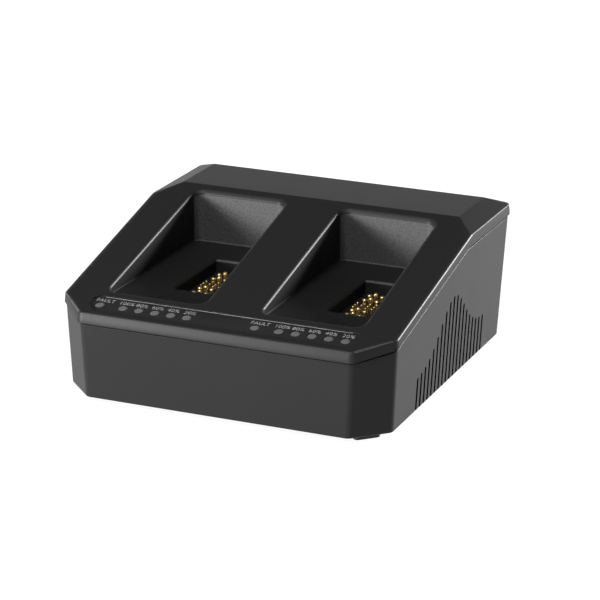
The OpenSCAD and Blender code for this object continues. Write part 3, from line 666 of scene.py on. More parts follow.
@dataclass
class Housing(Assembly):
    """The two mouldings of the case, with the bays, wells, vents and screw towers."""

    width: float = 160.0
    depth: float = CASE_DEPTH
    front: float = 40.4
    plateau: float = 68.0
    deck_run: float = 119.0
    corner_cut: float = 14.8
    draft: float = math.tan(math.radians(2.5))
    wall: float = 2.5
    upright_r: float = 4.0
    edge_r: float = 1.0
    bulge: float = 0.35
    front_bulge: float = 0.6
    crease_r: float = 3.0
    least_crease: float = 0.4
    skirt: float = 5.0
    proud: float = 0.35
    lip: float = 1.5
    lip_wall: float = 1.1
    lip_gap: float = 0.2
    side_bevel: float = 10.6
    rear_bevel: float = 8.9
    bevel_drop: float = 3.7
    bay_pitch: float = 74.2
    bay_width: float = 46.8
    bay_front: float = 20.0
    bay_length: float = 93.5
    bay_floor: float = 41.7
    bay_r: float = 5.0
    rim_r: float = 2.2
    root_r: float = 0.8
    lower_root: float = 0.5
    well_width: float = 18.7
    well_length: float = 45.8
    well_r: float = 1.5
    well_x: float = 7.5
    well_y: float = 66.5
    well_lead: float = 0.8
    well_front_lead: float = 1.6
    groove: Pair = (1.0, 1.2)
    seam_r: float = 0.3
    collar: float = 2.0
    collar_bottom: float = 33.2
    window_y: float = 8.2
    window_d: float = 4.4
    windows: tuple = (-21.3, -10.0, -2.3, 5.4, 13.1, 20.8)
    panel_half: float = 63.4
    panel_front: float = 2.8
    panel_back: float = 15.2
    panel_cut: float = 2.4
    panel_depth: float = 0.6
    vent_count: int = 19
    vent_pitch: float = 4.8
    vent_width: float = 2.0
    vent_front: float = 45.1
    vent_low: float = 15.4
    vent_drift: float = 2.4
    vent_hump: float = 24.0
    vent_hump_width: float = 22.0
    towers: tuple = ((69.5, 24.5), (69.5, 137.0))
    tower_d: float = 9.0
    tower_height: float = 33.0
    posts: tuple = ((59.0, 19.0), (59.0, 103.0), (57.0, 118.0), (57.0, 150.0))
    post_d: float = 6.5
    post_top: float = 8.5
    head_bore: Pair = (2.95, 25.0)
    screw_bore: Point = (1.65, 24.0, 12.0)
    post_bore: Pair = (1.25, 12.0)
    foot_width: float = 12.4
    foot_r: float = 2.0
    foot_seat: float = 0.8
    foot_inset: float = 2.2
    foot_gap: float = 0.1
    foot_edge: float = 0.5
    inlet: Pair = (-42.0, 26.0)
    inlet_size: Pair = (23.6, 14.6)
    inlet_r: float = 4.3
    inlet_reach: float = 5.0

    @property
    def slope(self) -> float:
        """The rise of the deck for each millimetre back."""
        return (self.plateau - self.front) / self.deck_run

    @property
    def side_top(self) -> float:
        """The height at which the side bevel meets the side wall."""
        return self.plateau - self.bevel_drop

    @property
    def side_grade(self) -> float:
        """The slope of the side bevels."""
        return self.bevel_drop / self.side_bevel

    @property
    def rear_grade(self) -> float:
        """The slope of the rear bevel."""
        return self.bevel_drop / self.rear_bevel

    def bay_middle(self, side: Side) -> Pair:
        """The middle of a bay in plan."""
        return side.value * self.bay_pitch / 2, self.bay_front + self.bay_length / 2

    def well_middle(self, side: Side) -> Pair:
        """The middle of the contact well of a bay in plan."""
        return side.value * self.bay_pitch / 2 + self.well_x, self.well_y

    def deck(self, y: float) -> float:
        """The height of the deck at a distance back."""
        return self.front + self.slope * y

    def on_deck(self, piece: Piece) -> Piece:
        """Turns a piece that was made flat, with y up the slope, to lie in the deck."""
        return set_at(piece, (0, 0, self.front), math.atan(self.slope), "X")

    def up(self, y: float) -> float:
        """The distance up the slope for a distance back."""
        return y * math.hypot(1, self.slope)

    def low_x(self, z: float) -> float:
        """Half the width of the lower walls at a height."""
        return self.width / 2 - self.proud - (self.side_top - self.skirt - z) * self.draft

    def low_front(self, z: float) -> float:
        """The front of the lower walls at a height."""
        return self.proud + (self.front - self.skirt - z) * self.draft

    def low_rear(self, z: float) -> float:
        """The rear of the lower walls at a height."""
        return self.depth - self.proud - (self.side_top - self.skirt - z) * self.draft

    def corners(self, x: float, front: float, rear: float, r: float) -> list[Pair]:
        """The centres in plan of the rounded upright edges on the right."""
        shift = self.corner_cut + r * (math.sqrt(2) - 1)
        return [(x - shift, front + r), (x - r, front + shift), (x - r, rear - r)]

    def low_corners(self, z: float) -> list[Pair]:
        """The centres of the rounded upright edges of the lower walls at a height."""
        return self.corners(self.low_x(z), self.low_front(z), self.low_rear(z), self.upright_r)

    def rest(self, x: float, y: float, r: float, hoop_r: float, inset: float) -> float:
        """The height at which a rounded corner touches the top planes from below.

        Args:
            x: The corner's place across.
            y: The corner's place back.
            r: The radius of its section.
            hoop_r: The radius of its ring.
            inset: How far the planes are lowered.

        Returns:
            The height of its centre.
        """
        side, rear = self.side_grade, self.rear_grade
        planes = [(self.deck(y), self.slope), (self.plateau, 0.0),
                  (self.side_top + side * (self.width / 2 - x), side),
                  (self.side_top + rear * (self.depth - y), rear)]
        return min(height - (r + inset) * math.hypot(1, grade) - hoop_r * grade
                   for height, grade in planes)

    def knee(self, x: float, r: float, hoop_r: float) -> float:
        """How far back the deck meets the side bevel, on a rounded corner.

        Args:
            x: The corner's place across.
            r: The radius of its section.
            hoop_r: The radius of its ring.

        Returns:
            The distance back.
        """
        side = self.side_grade
        return (self.side_top + side * (self.width / 2 - x) - self.front
                - r * (math.hypot(1, side) - math.hypot(1, self.slope))
                - hoop_r * (side - self.slope)) / self.slope

    def ease(self, grade: float) -> float:
        """How far the rounding of a crease moves its centre, for a slope next to a flat."""
        return self.crease_r * (math.hypot(1, grade) - 1) / grade

    def cover_form(self, inset: float) -> Piece:
        """Makes everything under the top planes and inside the skirt.

        Args:
            inset: How far inside the outer faces.

        Returns:
            The closed form.
        """
        r = self.upright_r - inset
        edge = self.root_r if inset else self.edge_r
        front_x = self.low_x(self.front - self.skirt + self.slope * self.corner_cut) + self.proud
        first, second, _ = self.corners(front_x, 0, self.depth, self.upright_r)
        rear_x = self.width / 2 - self.upright_r
        knee = (rear_x, self.knee(rear_x, self.edge_r, self.upright_r - self.edge_r))
        soft = max(self.crease_r - inset, self.least_crease)
        crease_x = self.width / 2 - self.side_bevel - self.ease(self.side_grade)
        crease_y = (self.deck_run + self.ease(self.slope),
                    self.depth - self.rear_bevel - self.ease(self.rear_grade))
        points = []
        for sign in (-1, 1):
            for x, y in (first, second, knee, (rear_x, self.depth - self.upright_r)):
                height = self.rest(x, y, edge, r - edge, inset)
                points.append(ring(r, edge, (sign * x, y, height)))
                if inset:
                    points.append(hoop(r, (sign * x, y, self.front - 2 * self.skirt)))
                    continue
                ahead = self.front_bulge if y < self.corner_cut else 0.0
                for share in (0.25, 0.5, 0.75, 1.0):
                    out = 1 - (1 - share) ** 2
                    low = height - share * self.skirt if share < 1 else self.front - 2 * self.skirt
                    points.append(hoop(r + self.bulge * out, (sign * x, y - ahead * out, low)))
            points += [ring(soft, soft, (sign * crease_x, y, self.plateau - inset - soft))
                       for y in crease_y]
        return hull(points, "cover_form")

    def lower_form(self, inset: float) -> Piece:
        """Makes everything inside the drafted lower walls.

        Args:
            inset: How far inside the outer faces.

        Returns:
            The closed form.
        """
        r = max(self.upright_r - inset, self.lower_root)
        edge = self.lower_root if inset else self.edge_r
        points = []
        for sign in (-1, 1):
            points += [ring(r, edge, (sign * x, y, inset + edge)) for x, y in self.low_corners(0)]
            points += [hoop(r, (sign * x, y, self.side_top))
                       for x, y in self.low_corners(self.side_top)]
        return hull(points, "lower_form")

    def below_seam(self, lift: float) -> Piece:
        """Makes everything below the parting line.

        Args:
            lift: How far the line is raised.

        Returns:
            The closed form.
        """
        top = self.side_top - self.skirt + lift
        piece = block((-self.width, -self.wall, -self.wall),
                      (self.width, self.depth + self.wall, top))
        with editing(piece):
            bpy.ops.mesh.select_all(action="SELECT")
            bpy.ops.mesh.bisect(plane_co=(0, 0, self.front - self.skirt + lift),
                                plane_no=(0, -self.slope, 1), use_fill=True, clear_outer=True,
                                threshold=1e-5)
        return piece

    def rounded_pocket(self, side: Side) -> Piece:
        """Makes the space of one bay, rounded where its walls meet the floor.

        Args:
            side: The side of the bay.

        Returns:
            The closed form.
        """
        piece = rounded_plate(self.bay_width, self.bay_length, self.bay_r, self.bay_floor,
                              self.plateau + 2 * SPARE, self.bay_middle(side), 10)
        bevel(piece, lambda e: all(v.co.z < self.bay_floor + HAIR for v in e.verts), self.root_r, 4)
        return piece

    def panel(self, gap: float, low: float, high: float) -> Piece:
        """Makes a plate with the outline of the recessed panel, lying in the deck.

        Args:
            gap: How much smaller than the recess it is.
            low: The height of its lower face over the deck.
            high: The height of its upper face over the deck.

        Returns:
            The plate.
        """
        half = self.panel_half - gap
        front, back = self.up(self.panel_front) + gap, self.up(self.panel_back) - gap
        piece = block((-half, front, low), (half, back, high))
        for y, cut in ((back, self.panel_cut), (front, 2 * self.panel_cut)):
            bevel(piece, lambda e: upright(e) and abs(e.verts[0].co.y - y) < HAIR, cut)
        return self.on_deck(piece)

    def window_bores(self, side: Side, low: float) -> Piece:
        """Makes a round bar at each window of a side, square to the deck and through it.

        Args:
            side: The side.
            low: The height of the lower ends over the deck.

        Returns:
            The bars as one tool.
        """
        return join([self.on_deck(round_bar(self.window_d / 2,
                                            (self.bay_middle(side)[0] + x, self.up(self.window_y),
                                             low), self.wall - low))
                     for x in self.windows], "window_bores")

    def build_cover(self) -> Piece:
        """Models the top cover.

        Returns:
            The finished piece.
        """
        cover = self.cover_form(0)
        carve(cover, self.below_seam(0), Cut.AWAY)
        carve(cover, self.cover_form(self.wall), Cut.AWAY)
        pockets = self.cover_form(self.wall / 2)
        blanks = [rounded_plate(self.bay_width + 2 * self.wall, self.bay_length + 2 * self.wall,
                                self.bay_r + self.wall, self.bay_floor - self.wall,
                                2 * self.plateau, self.bay_middle(side), 10) for side in Side]
        blanks += [round_bar(self.tower_d / 2, (s * x, y, self.tower_height), self.plateau)
                   for x, y in self.towers for s in (-1, 1)]
        carve(pockets, join(blanks, "blanks"), Cut.COMMON)
        carve(cover, pockets, Cut.TOGETHER)
        for side in Side:
            collar = rounded_plate(self.well_width + 2 * self.collar,
                                   self.well_length + 2 * self.collar, self.well_r + self.collar,
                                   self.collar_bottom, self.bay_floor - self.wall / 2,
                                   self.well_middle(side))
            carve(cover, collar, Cut.TOGETHER)
        for side in Side:
            well = rounded_plate(self.well_width, self.well_length, self.well_r,
                                 self.collar_bottom - SPARE, self.bay_floor + SPARE,
                                 self.well_middle(side), 6)
            for tool in (self.rounded_pocket(side), well, self.window_bores(side, -2 * self.wall)):
                carve(cover, tool, Cut.AWAY)
        carve(cover, self.panel(0, -self.panel_depth, SPARE), Cut.AWAY)
        tidy(cover)
        self.round_rims(cover)
        smooth(cover)
        cover.name = "cover_moulding"

        def bay_face(face: Face) -> bool:
            """Whether a face is on the walls or the floor of a bay: the faces that get the painted
            shade.

            Args:
                face: The face.

            Returns:
                The answer.
            """
            middle = face.calc_center_median()
            back = middle.y - self.bay_front - self.bay_length / 2
            return (abs(abs(middle.x) - self.bay_pitch / 2) < self.bay_width / 2 + HAIR
                    and abs(back) < self.bay_length / 2 + HAIR
                    and self.bay_floor - HAIR < middle.z < self.deck(middle.y) - self.rim_r)

        def painted_light_face(face: Face) -> bool:
            """Whether a face is on the rear wall of a bay or on the rear lead-in of its well: the
            faces that get the painted light.

            Args:
                face: The face.

            Returns:
                The answer.
            """
            middle = face.calc_center_median()
            on_lead = (self.bay_floor - self.well_lead < middle.z < self.bay_floor - HAIR
                       and face.normal.y < -0.5 and face.normal.z > 0.2)
            return (bay_face(face) and face.normal.y < -0.5) or on_lead

        # The darker copy of the black on the bays' walls and floors is painted shade, and the
        # lighter copy on their rear walls is painted light.
        return self.settle(cover, HOUSING, stands_for=["top_cover"],
                           patches=[(BAY_SIDE_PAINTED_SHADE, bay_face), (BAY_BACK_PAINTED_LIGHT, painted_light_face)])

    def round_rims(self, cover: Piece) -> None:
        """Rounds the rims of the bays and breaks the edges of the wells and the skirt.

        Args:
            cover: The cover, in millimetres.
        """
        def in_bay(point: Vector) -> bool:
            """Whether a point is on the plan of a bay."""
            x, y = abs(abs(point.x) - self.bay_pitch / 2), point.y - self.bay_front
            return x < self.bay_width / 2 + HAIR and -HAIR < y < self.bay_length + HAIR

        def rim(edge: Edge) -> bool:
            """Whether an edge is on the rim of a bay, in the plane of the deck."""
            return by_wall(edge) and all(
                in_bay(v.co) and abs(v.co.z - self.deck(v.co.y)) < HAIR for v in edge.verts)

        def well(edge: Edge) -> bool:
            """Whether an edge is on the mouth of a contact well."""
            return (all(abs(v.co.z - self.bay_floor) < HAIR for v in edge.verts)
                    and by_wall(edge) and any(top_faces(f) for f in edge.link_faces))

        bevel(cover, rim, self.rim_r, 5)
        bevel(cover, well, self.well_lead)
        bevel(cover, self.on_seam, self.seam_r, 3)
        half = self.well_front_lead / math.sqrt(2)
        wide = self.well_width / 2 - self.well_r / 2
        for side in Side:
            x, y = self.well_middle(side)
            wedge = set_at(block((-wide, -half, -half), (wide, half, half)),
                           (x, y - self.well_length / 2, self.bay_floor), math.radians(45), "X")
            carve(cover, wedge, Cut.AWAY)

    def on_seam(self, edge: Edge, below: float = 0.0) -> bool:
        """Whether an edge is the outer edge of a face at the parting line.

        Args:
            edge: The edge.
            below: How far the face is below the line.

        Returns:
            The answer.
        """
        for vert in edge.verts:
            seam = min(self.deck(vert.co.y), self.side_top) - self.skirt - below
            if abs(vert.co.z - seam) > 2 * HAIR:
                return False
        middle = (edge.verts[0].co + edge.verts[1].co) / 2
        outward = Vector((middle.x, middle.y - self.depth / 2))
        return any(abs(f.normal.z) < 0.5 and f.normal.xy.dot(outward) > 0 for f in edge.link_faces)

    def vent_top(self, i: int) -> float:
        """The height of the top of a vent slot."""
        s = (i - (self.vent_count - 1) / 2) * self.vent_pitch
        return (self.vent_low + self.vent_drift * i / (self.vent_count - 1)
                + self.vent_hump * math.exp(-(s / self.vent_hump_width) ** 2))

    def vent_tool(self, sign: int) -> Piece:
        """Makes the tool that cuts the slots of one side.

        Args:
            sign: The side, as a sign along x.

        Returns:
            The closed tool.
        """
        bars = []
        x = self.low_x(0)
        ends = sorted((sign * (x - 2 * self.wall), sign * (x + 2 * self.wall)))
        for i in range(self.vent_count):
            y, top = self.vent_front + i * self.vent_pitch, self.vent_top(i)
            bar = block((ends[0], y - self.vent_width / 2, -SPARE),
                        (ends[1], y + self.vent_width / 2, top))
            bevel(bar, lambda e: all(v.co.z > 0 for v in e.verts)
                  and abs(e.verts[0].co.y - e.verts[1].co.y) < HAIR, self.vent_width / 2 - HAIR, 6)
            bars.append(bar)
        return join(bars, "vent_tool")

    def foot_places(self) -> dict[str, tuple[Pair, bool]]:
        """The places of the feet.

        Returns:
            For each foot its centre in plan and whether it is turned with the cut corner.
        """
        half = self.foot_inset + self.foot_width / 2
        slant = half / math.sqrt(2)
        near = (self.low_x(0) - self.corner_cut / 2 - slant,
                self.low_front(0) + self.corner_cut / 2 + slant)
        far = (self.low_x(0) - half, self.low_rear(0) - half)
        return {f"foot_{end}_{side.word}": ((side.value * place[0], place[1]), end == "front")
                for end, place in (("front", near), ("rear", far)) for side in Side}

    def foot_block(self, name: str, grow: float, low: float, high: float) -> Piece:
        """Makes a rounded block at a foot's place.

        Args:
            name: The name of the foot.
            grow: How much wider than the foot it is, on each side.
            low: The height of its lower face.
            high: The height of its upper face.

        Returns:
            The block.
        """
        (x, y), turned = self.foot_places()[name]
        size = self.foot_width + 2 * grow
        return set_at(rounded_plate(size, size, self.foot_r + grow, low, high), (x, y, 0),
                      math.radians(45 if turned else 0), "Z")

    def pillars(self, places: Sequence[Pair], radius: float, low: float,
                height: float) -> list[Piece]:
        """Makes an upright bar at each place and at its mirror image."""
        return [round_bar(radius, (s * x, y, low), height) for s in (-1, 1) for x, y in places]

    def build_lower(self) -> Piece:
        """Models the lower housing.

        Returns:
            The finished piece.
        """
        lower = self.lower_form(0)
        carve(lower, self.below_seam(0), Cut.COMMON)
        carve(lower, self.lower_form(self.wall), Cut.AWAY)
        lip_inset = self.wall - self.proud + self.lip_gap
        lip = self.lower_form(lip_inset)
        carve(lip, self.below_seam(self.lip), Cut.COMMON)
        carve(lip, self.lower_form(lip_inset + self.lip_wall), Cut.AWAY)
        carve(lip, self.below_seam(-self.skirt), Cut.AWAY)
        carve(lower, lip, Cut.TOGETHER)
        high, deep = self.groove
        groove = self.lower_form(-deep)
        carve(groove, self.below_seam(high), Cut.COMMON)
        carve(groove, self.below_seam(-high), Cut.AWAY)
        carve(groove, self.lower_form(deep), Cut.AWAY)
        carve(lower, groove, Cut.AWAY)
        low = self.wall / 2
        stands = self.pillars(self.towers, self.tower_d / 2, low, self.tower_height - low)
        stands += self.pillars(self.posts, self.post_d / 2, low, self.post_top - low)
        trim = self.lower_form(low)
        carve(trim, join(stands, "stands"), Cut.COMMON)
        carve(lower, trim, Cut.TOGETHER)
        for sign in (-1, 1):
            carve(lower, self.vent_tool(sign), Cut.AWAY)
        bores = [self.foot_block(name, self.foot_gap, -SPARE, self.foot_seat)
                 for name in self.foot_places()]
        bores += self.pillars(self.towers, self.head_bore[0], -SPARE, self.head_bore[1] + SPARE)
        carve(lower, join(bores, "bores"), Cut.AWAY)
        bores = self.pillars(self.towers, *self.screw_bore)
        bores += self.pillars(self.posts, self.post_bore[0], self.wall, self.post_bore[1])
        carve(lower, join(bores, "bores"), Cut.AWAY)
        x, z = self.inlet
        mouth = rounded_plate(*self.inlet_size, self.inlet_r, -self.inlet_reach, self.inlet_reach)
        carve(lower, set_at(mouth, (x, self.low_rear(z), z), math.radians(-90), "X"), Cut.AWAY)
        tidy(lower)
        bevel(lower, lambda e: self.on_seam(e, high), self.seam_r, 3)
        smooth(lower)
        lower.name = "lower_moulding"

        def slot_face(face: Face) -> bool:
            """Whether a face is inside a vent slot, where the painted shade goes.

            Args:
                face: The face.

            Returns:
                The answer.
            """
            middle = face.calc_center_median()
            along = (middle.y - self.vent_front) / self.vent_pitch
            near = abs(along - round(along)) * self.vent_pitch < self.vent_width / 2 + HAIR
            return (near and -0.5 < along < self.vent_count - 0.5 and abs(face.normal.x) < 0.5
                    and abs(middle.x) > self.low_x(0) - self.wall - 1
                    and middle.z < self.vent_top(round(along)) + HAIR and abs(face.normal.z) < 0.98)

        return self.settle(lower, HOUSING, stands_for=["lower_housing"],
                           patches=[(SLOT_PAINTED_SHADE, slot_face)])

    def build_feet(self) -> None:
        """Models the four rubber feet, with rounded edges below."""
        for name in self.foot_places():
            foot = self.foot_block(name, 0, -FOOT_HEIGHT, self.foot_seat)
            bevel(foot, lambda e: all(v.co.z < HAIR - FOOT_HEIGHT for v in e.verts),
                  self.foot_edge, 3)
            smooth(foot)
            foot.name = name.replace("foot", "rubber_foot")
            self.settle(foot, RUBBER, stands_for=[name])


@dataclass
class IndicatorStrip(Assembly):
    """The film in the recessed panel, the windows in it, the marks over them and a painted
    highlight along its rear edge.
    """

    case: Housing = field(default_factory=Housing)
    film: float = 0.15
    film_gap: float = 0.15
    # How far in from the film's rear edge the painted highlight band starts and ends.
    line: Pair = (0.45, 0.1)
    lens_gap: float = 0.1
    lens_deep: float = 3.0
    lens_low: float = 0.2
    lens_steps: tuple = ((0.12, 0.9), (0.05, 0.82), (0.02, 0.6))
    rail: float = 1.0
    ink: float = 0.03
    mark_y: float = 10.9
    mark_size: float = 3.4
    mark_spacing: float = 1.06
    signs: tuple = ("FAULT", "100%", "80%", "60%", "40%", "20%")
    sign_shift: tuple = (1.3, 0.3, 0.0, -0.1, -0.2, 0.0)
    sign_width: tuple = (8.6, 6.6, 5.6, 5.6, 5.6, 5.6)

    def build(self) -> None:
        """Models the film, the painted highlight along its rear edge, the windows and the marks."""
        case = self.case
        top = self.film - case.panel_depth
        film = case.panel(self.film_gap, -case.panel_depth, top)
        for side in Side:
            carve(film, case.window_bores(side, -case.wall), Cut.AWAY)
        film.name = "indicator_film"
        smooth(film)
        self.settle(film, FILM, stands_for=["indicator_overlay"])
        # A thin pale band along the rear edge of the film, in the print's grey: a painted highlight
        # for the glint on the film's edge.
        half = case.panel_half - 2 * case.panel_cut
        front, back = (case.up(case.panel_back) - self.film_gap - inset for inset in self.line)
        line = block((-half, front, top), (half, back, top + self.ink / 2))
        line.name = "painted_edge_glint"
        self.settle(case.on_deck(line), PRINT_AND_PAINTED_GLINT)
        for side in Side:
            self.build_windows(side, top)
            self.build_marks(side, top)

    def build_windows(self, side: Side, top: float) -> None:
        """Models the windows of one side: the slightly domed ends of a light guide.

        Args:
            side: The side.
            top: The height of the film over the deck.
        """
        case = self.case
        x, y = case.bay_middle(side)[0], case.up(case.window_y)
        bars = []
        for shift in case.windows:
            bar = round_bar(case.window_d / 2 - self.lens_gap, (x + shift, y, -self.lens_deep),
                            self.lens_deep + top - self.lens_low)
            with editing(bar):
                choose(bar, Pick.FACES, top_faces)
                for rise, grow in self.lens_steps:
                    draw_up(rise, grow)
            bars.append(case.on_deck(bar))
        first, last = case.windows[0], case.windows[-1]
        rail = rounded_plate(last - first + case.window_d + self.rail, case.window_d + self.rail,
                             self.rail, -case.wall - self.rail, -case.wall,
                             (x + (first + last) / 2, y))
        piece = join([*bars, case.on_deck(rail)], f"window_lenses_{side.word}")
        smooth(piece)
        self.settle(piece, LENS, stands_for=[f"light_guide_{side.word}"])

    def build_marks(self, side: Side, top: float) -> None:
        """Prints a mark over each window of one side.

        Args:
            side: The side.
            top: The height of the film over the deck.
        """
        case = self.case
        marks = []
        for x, sign, shift, width in zip(case.windows, self.signs, self.sign_shift,
                                         self.sign_width):
            place = (case.bay_middle(side)[0] + x + shift, case.up(self.mark_y), top)
            bpy.ops.object.text_add(location=place)
            mark = bpy.context.object
            mark.data.body = sign
            mark.data.size = self.mark_size
            mark.data.align_x = "CENTER"
            mark.data.extrude = self.ink / 2
            mark.data.space_character = self.mark_spacing
            focus(mark)
            bpy.ops.object.convert(target="MESH")
            mark = bpy.context.object
            mark.scale.x = width / mark.dimensions.x
            marks.append(case.on_deck(set_down(mark)))
        self.settle(join(marks, f"level_marks_{side.word}"), PRINT_AND_PAINTED_GLINT)


@dataclass
class ContactField(Assembly):
    """The sprung contacts in the floor of one bay."""

    side: Side
    case: Housing = field(default_factory=Housing)
    pitch: float = 3.0
    row_pitch: float = 3.0
    power_rows: tuple = (-14.0, -7.5, 7.5, 14.0)
    signal_columns: tuple = (-1.5, -0.5, 0.5, 1.5)
    field_y: float = 65.0
    power_r: float = 1.05
    signal_r: float = 0.5
    gap: float = 0.05
    power_wall: float = 0.25
    signal_wall: float = 0.2
    power_tip: float = 39.1
    signal_tip: float = 38.6
    head_spread: float = 1.16
    head: float = 0.8
    dome_share: float = 0.75
    dome_steps: tuple = (20, 38, 54, 68, 80)
    middle_rise: float = 1.0
    bottom: float = 33.6
    rim: float = 36.3
    base: float = 31.7
    barrel_floor: float = 0.4
    lip_share: float = 0.35

    def places(self, columns: Sequence[float], rows: Sequence[float]) -> list[Point]:
        """The places of contacts, by columns in pitches and rows in millimetres."""
        x = self.case.well_middle(self.side)[0]
        return [(x + c * self.pitch, self.field_y + r, 0.0) for c in columns for r in rows]

    def plunger(self, radius: float, tip: float) -> Piece:
        """Models a plunger: a bar whose end is drawn in to a crown.

        Args:
            radius: Its radius.
            tip: The height of its tip.

        Returns:
            The plunger, at the middle.
        """
        wide = radius * self.head_spread
        dome = self.dome_share * wide
        bar = round_bar(radius, (0, 0, self.bottom), tip - self.head - dome / 2 - self.bottom, 24)
        steps = [(0.0, wide), (self.head - dome / 2, wide)]
        steps += [(self.head - dome / 2 + dome * math.sin(math.radians(t)),
                   wide * math.cos(math.radians(t))) for t in self.dome_steps]
        with editing(bar):
            choose(bar, Pick.FACES, top_faces)
            last_h, last_r = 0.0, radius
            for h, r in steps:
                draw_up(h - last_h, r / last_r)
                last_h, last_r = h, r
        return bar

    def barrel(self, radius: float, wall: float) -> Piece:
        """Models a barrel: a cup whose rim is rounded.

        Args:
            radius: The radius of its bore.
            wall: The thickness of its wall.

        Returns:
            The barrel, at the middle.
        """
        tube = round_bar(radius + wall, (0, 0, self.base), self.rim - self.base, 24)
        with editing(tube):
            choose(tube, Pick.FACES, top_faces)
            bpy.ops.mesh.inset(thickness=wall)
            draw_up(self.base + self.barrel_floor - self.rim)
        bevel(tube, lambda e: by_wall(e) and all(v.co.z > self.rim - HAIR for v in e.verts),
              wall * self.lip_share, 2)
        return tube

    def build(self) -> None:
        """Models the barrels and the plungers."""
        word, body = self.side.word, self.side.plungers
        small_places = self.places(self.signal_columns, (-self.row_pitch, 0.0, self.row_pitch))
        outer = copies(self.plunger(self.power_r, self.power_tip),
                       self.places((-1, 1), self.power_rows), "outer")
        middle = copies(self.plunger(self.power_r, self.power_tip + self.middle_rise),
                        self.places((0,), self.power_rows), "middle")
        power = join([outer, middle], f"power_pins_{word}")
        signal = copies(self.plunger(self.signal_r, self.signal_tip), small_places,
                        f"signal_pins_{word}")
        for piece, node in ((power, "power_plungers"), (signal, "signal_plungers")):
            smooth(piece, 40)
            self.settle(piece, GOLD, body, [f"{node}_{word}"])
        sleeves = copies(self.barrel(self.power_r + self.gap, self.power_wall),
                         self.places((-1, 0, 1), self.power_rows), f"power_sleeves_{word}")
        small = copies(self.barrel(self.signal_r + self.gap, self.signal_wall), small_places,
                       f"signal_sleeves_{word}")
        for piece, node in ((sleeves, "power_barrels"), (small, "signal_barrels")):
            smooth(piece, 40)
            self.settle(piece, SLEEVE, stands_for=[f"{node}_{word}"])


@dataclass
class Innards(Assembly):
    """The solids that keep their shape and get a finish."""

    finishes: dict = field(default_factory=lambda: {
        INSULATOR: ("contact_block_left", "contact_block_right", "inlet_body"),
        STEEL: ("case_screws", "inlet_pins", "indicator_board_screws", "board_screws",
                "contact_screws_left", "contact_screws_right"),
        Finish("solder_mask", "board_laminate", (0.02, 0.13, 0.07), rough=0.35, grain=0.8):
            ("indicator_board", "contact_board_left", "contact_board_right", "charge_board"),
        Finish("led_resin", "led_white", (0.8, 0.8, 0.76), rough=0.4, grain=0.3, depth=0.01):
            ("indicator_leds",),
        Finish("flat_lead", "ribbon_grey", (0.25, 0.25, 0.27), grain=1.27, depth=0.2, rough=0.6,
               stretch=(1.0, 1.0, 0.02)): ("contact_cable_left", "contact_cable_right",
                                           "indicator_cable"),
        Finish("package_epoxy", "package_black", (0.02, 0.02, 0.022), rough=0.6, grain=0.3):
            ("charge_chips", "bridge_rectifier"),
        Finish("sintered_ferrite", "ferrite_grey", (0.09, 0.09, 0.095), rough=0.7, grain=0.6,
               depth=0.04):
            ("power_inductors", "transformer_core"),
        Finish("shrink_sleeve", "sleeve_dark", (0.04, 0.05, 0.14), rough=0.3, grain=2.0):
            ("output_capacitors", "bulk_capacitor"),
        Finish("extruded_aluminium", "heat_sink_aluminium", (0.55, 0.56, 0.58), rough=0.4,
               metal=1.0, grain=0.4, stretch=(1.0, 0.03, 1.0)):
            ("heat_sink_left", "heat_sink_right", "supply_heat_sink"),
        Finish("bare_laminate", "supply_laminate", (0.34, 0.22, 0.1), rough=0.6, depth=0.03):
            ("supply_board",),
        Finish("winding_tape", "winding_tape", (0.65, 0.45, 0.06), rough=0.35, grain=2.0,
               depth=0.05, stretch=(1.0, 1.0, 0.3)): ("transformer_winding",),
        Finish("enamelled_wire", "copper_wire", (0.45, 0.17, 0.05), rough=0.3, grain=0.8,
               depth=0.1): ("line_choke",),
        Finish("fuse_caps", "fuse_glass", (0.7, 0.7, 0.66), rough=0.25, metal=0.8): ("fuse",),
        Finish("mains_lead", "lead_insulation", (0.28, 0.12, 0.05), rough=0.5): ("inlet_leads",),
        Finish("red_lead", "lead_red", (0.45, 0.03, 0.02), rough=0.45): ("supply_leads",),
    })

    def dress(self) -> None:
        """Gives each solid its finish."""
        for finish, nodes in self.finishes.items():
            for name in nodes:
                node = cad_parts[name]
                node.data.materials.clear()
                node.data.materials.append(finish.material())


@dataclass(frozen=True)
class Lamp:
    """A soft rectangular lamp that faces the object.

    The level is what a white, dull surface that faces the lamp would show.
    """

    name: str
    toward: Point
    level: float
    distance: float
    size: Pair


LAMPS = (
    Lamp("key_front_left", (-0.61, -0.79, 0.1), 1.55, 1.4, (0.6, 0.24)),
    Lamp("rim_back_right", (0.6, 0.73, 0.236), 1.95, 1.6, (0.4, 0.25)),
    Lamp("glint_front_top", (-0.05, -0.65, 0.76), 0.42, 1.5, (0.4, 0.4)),
)


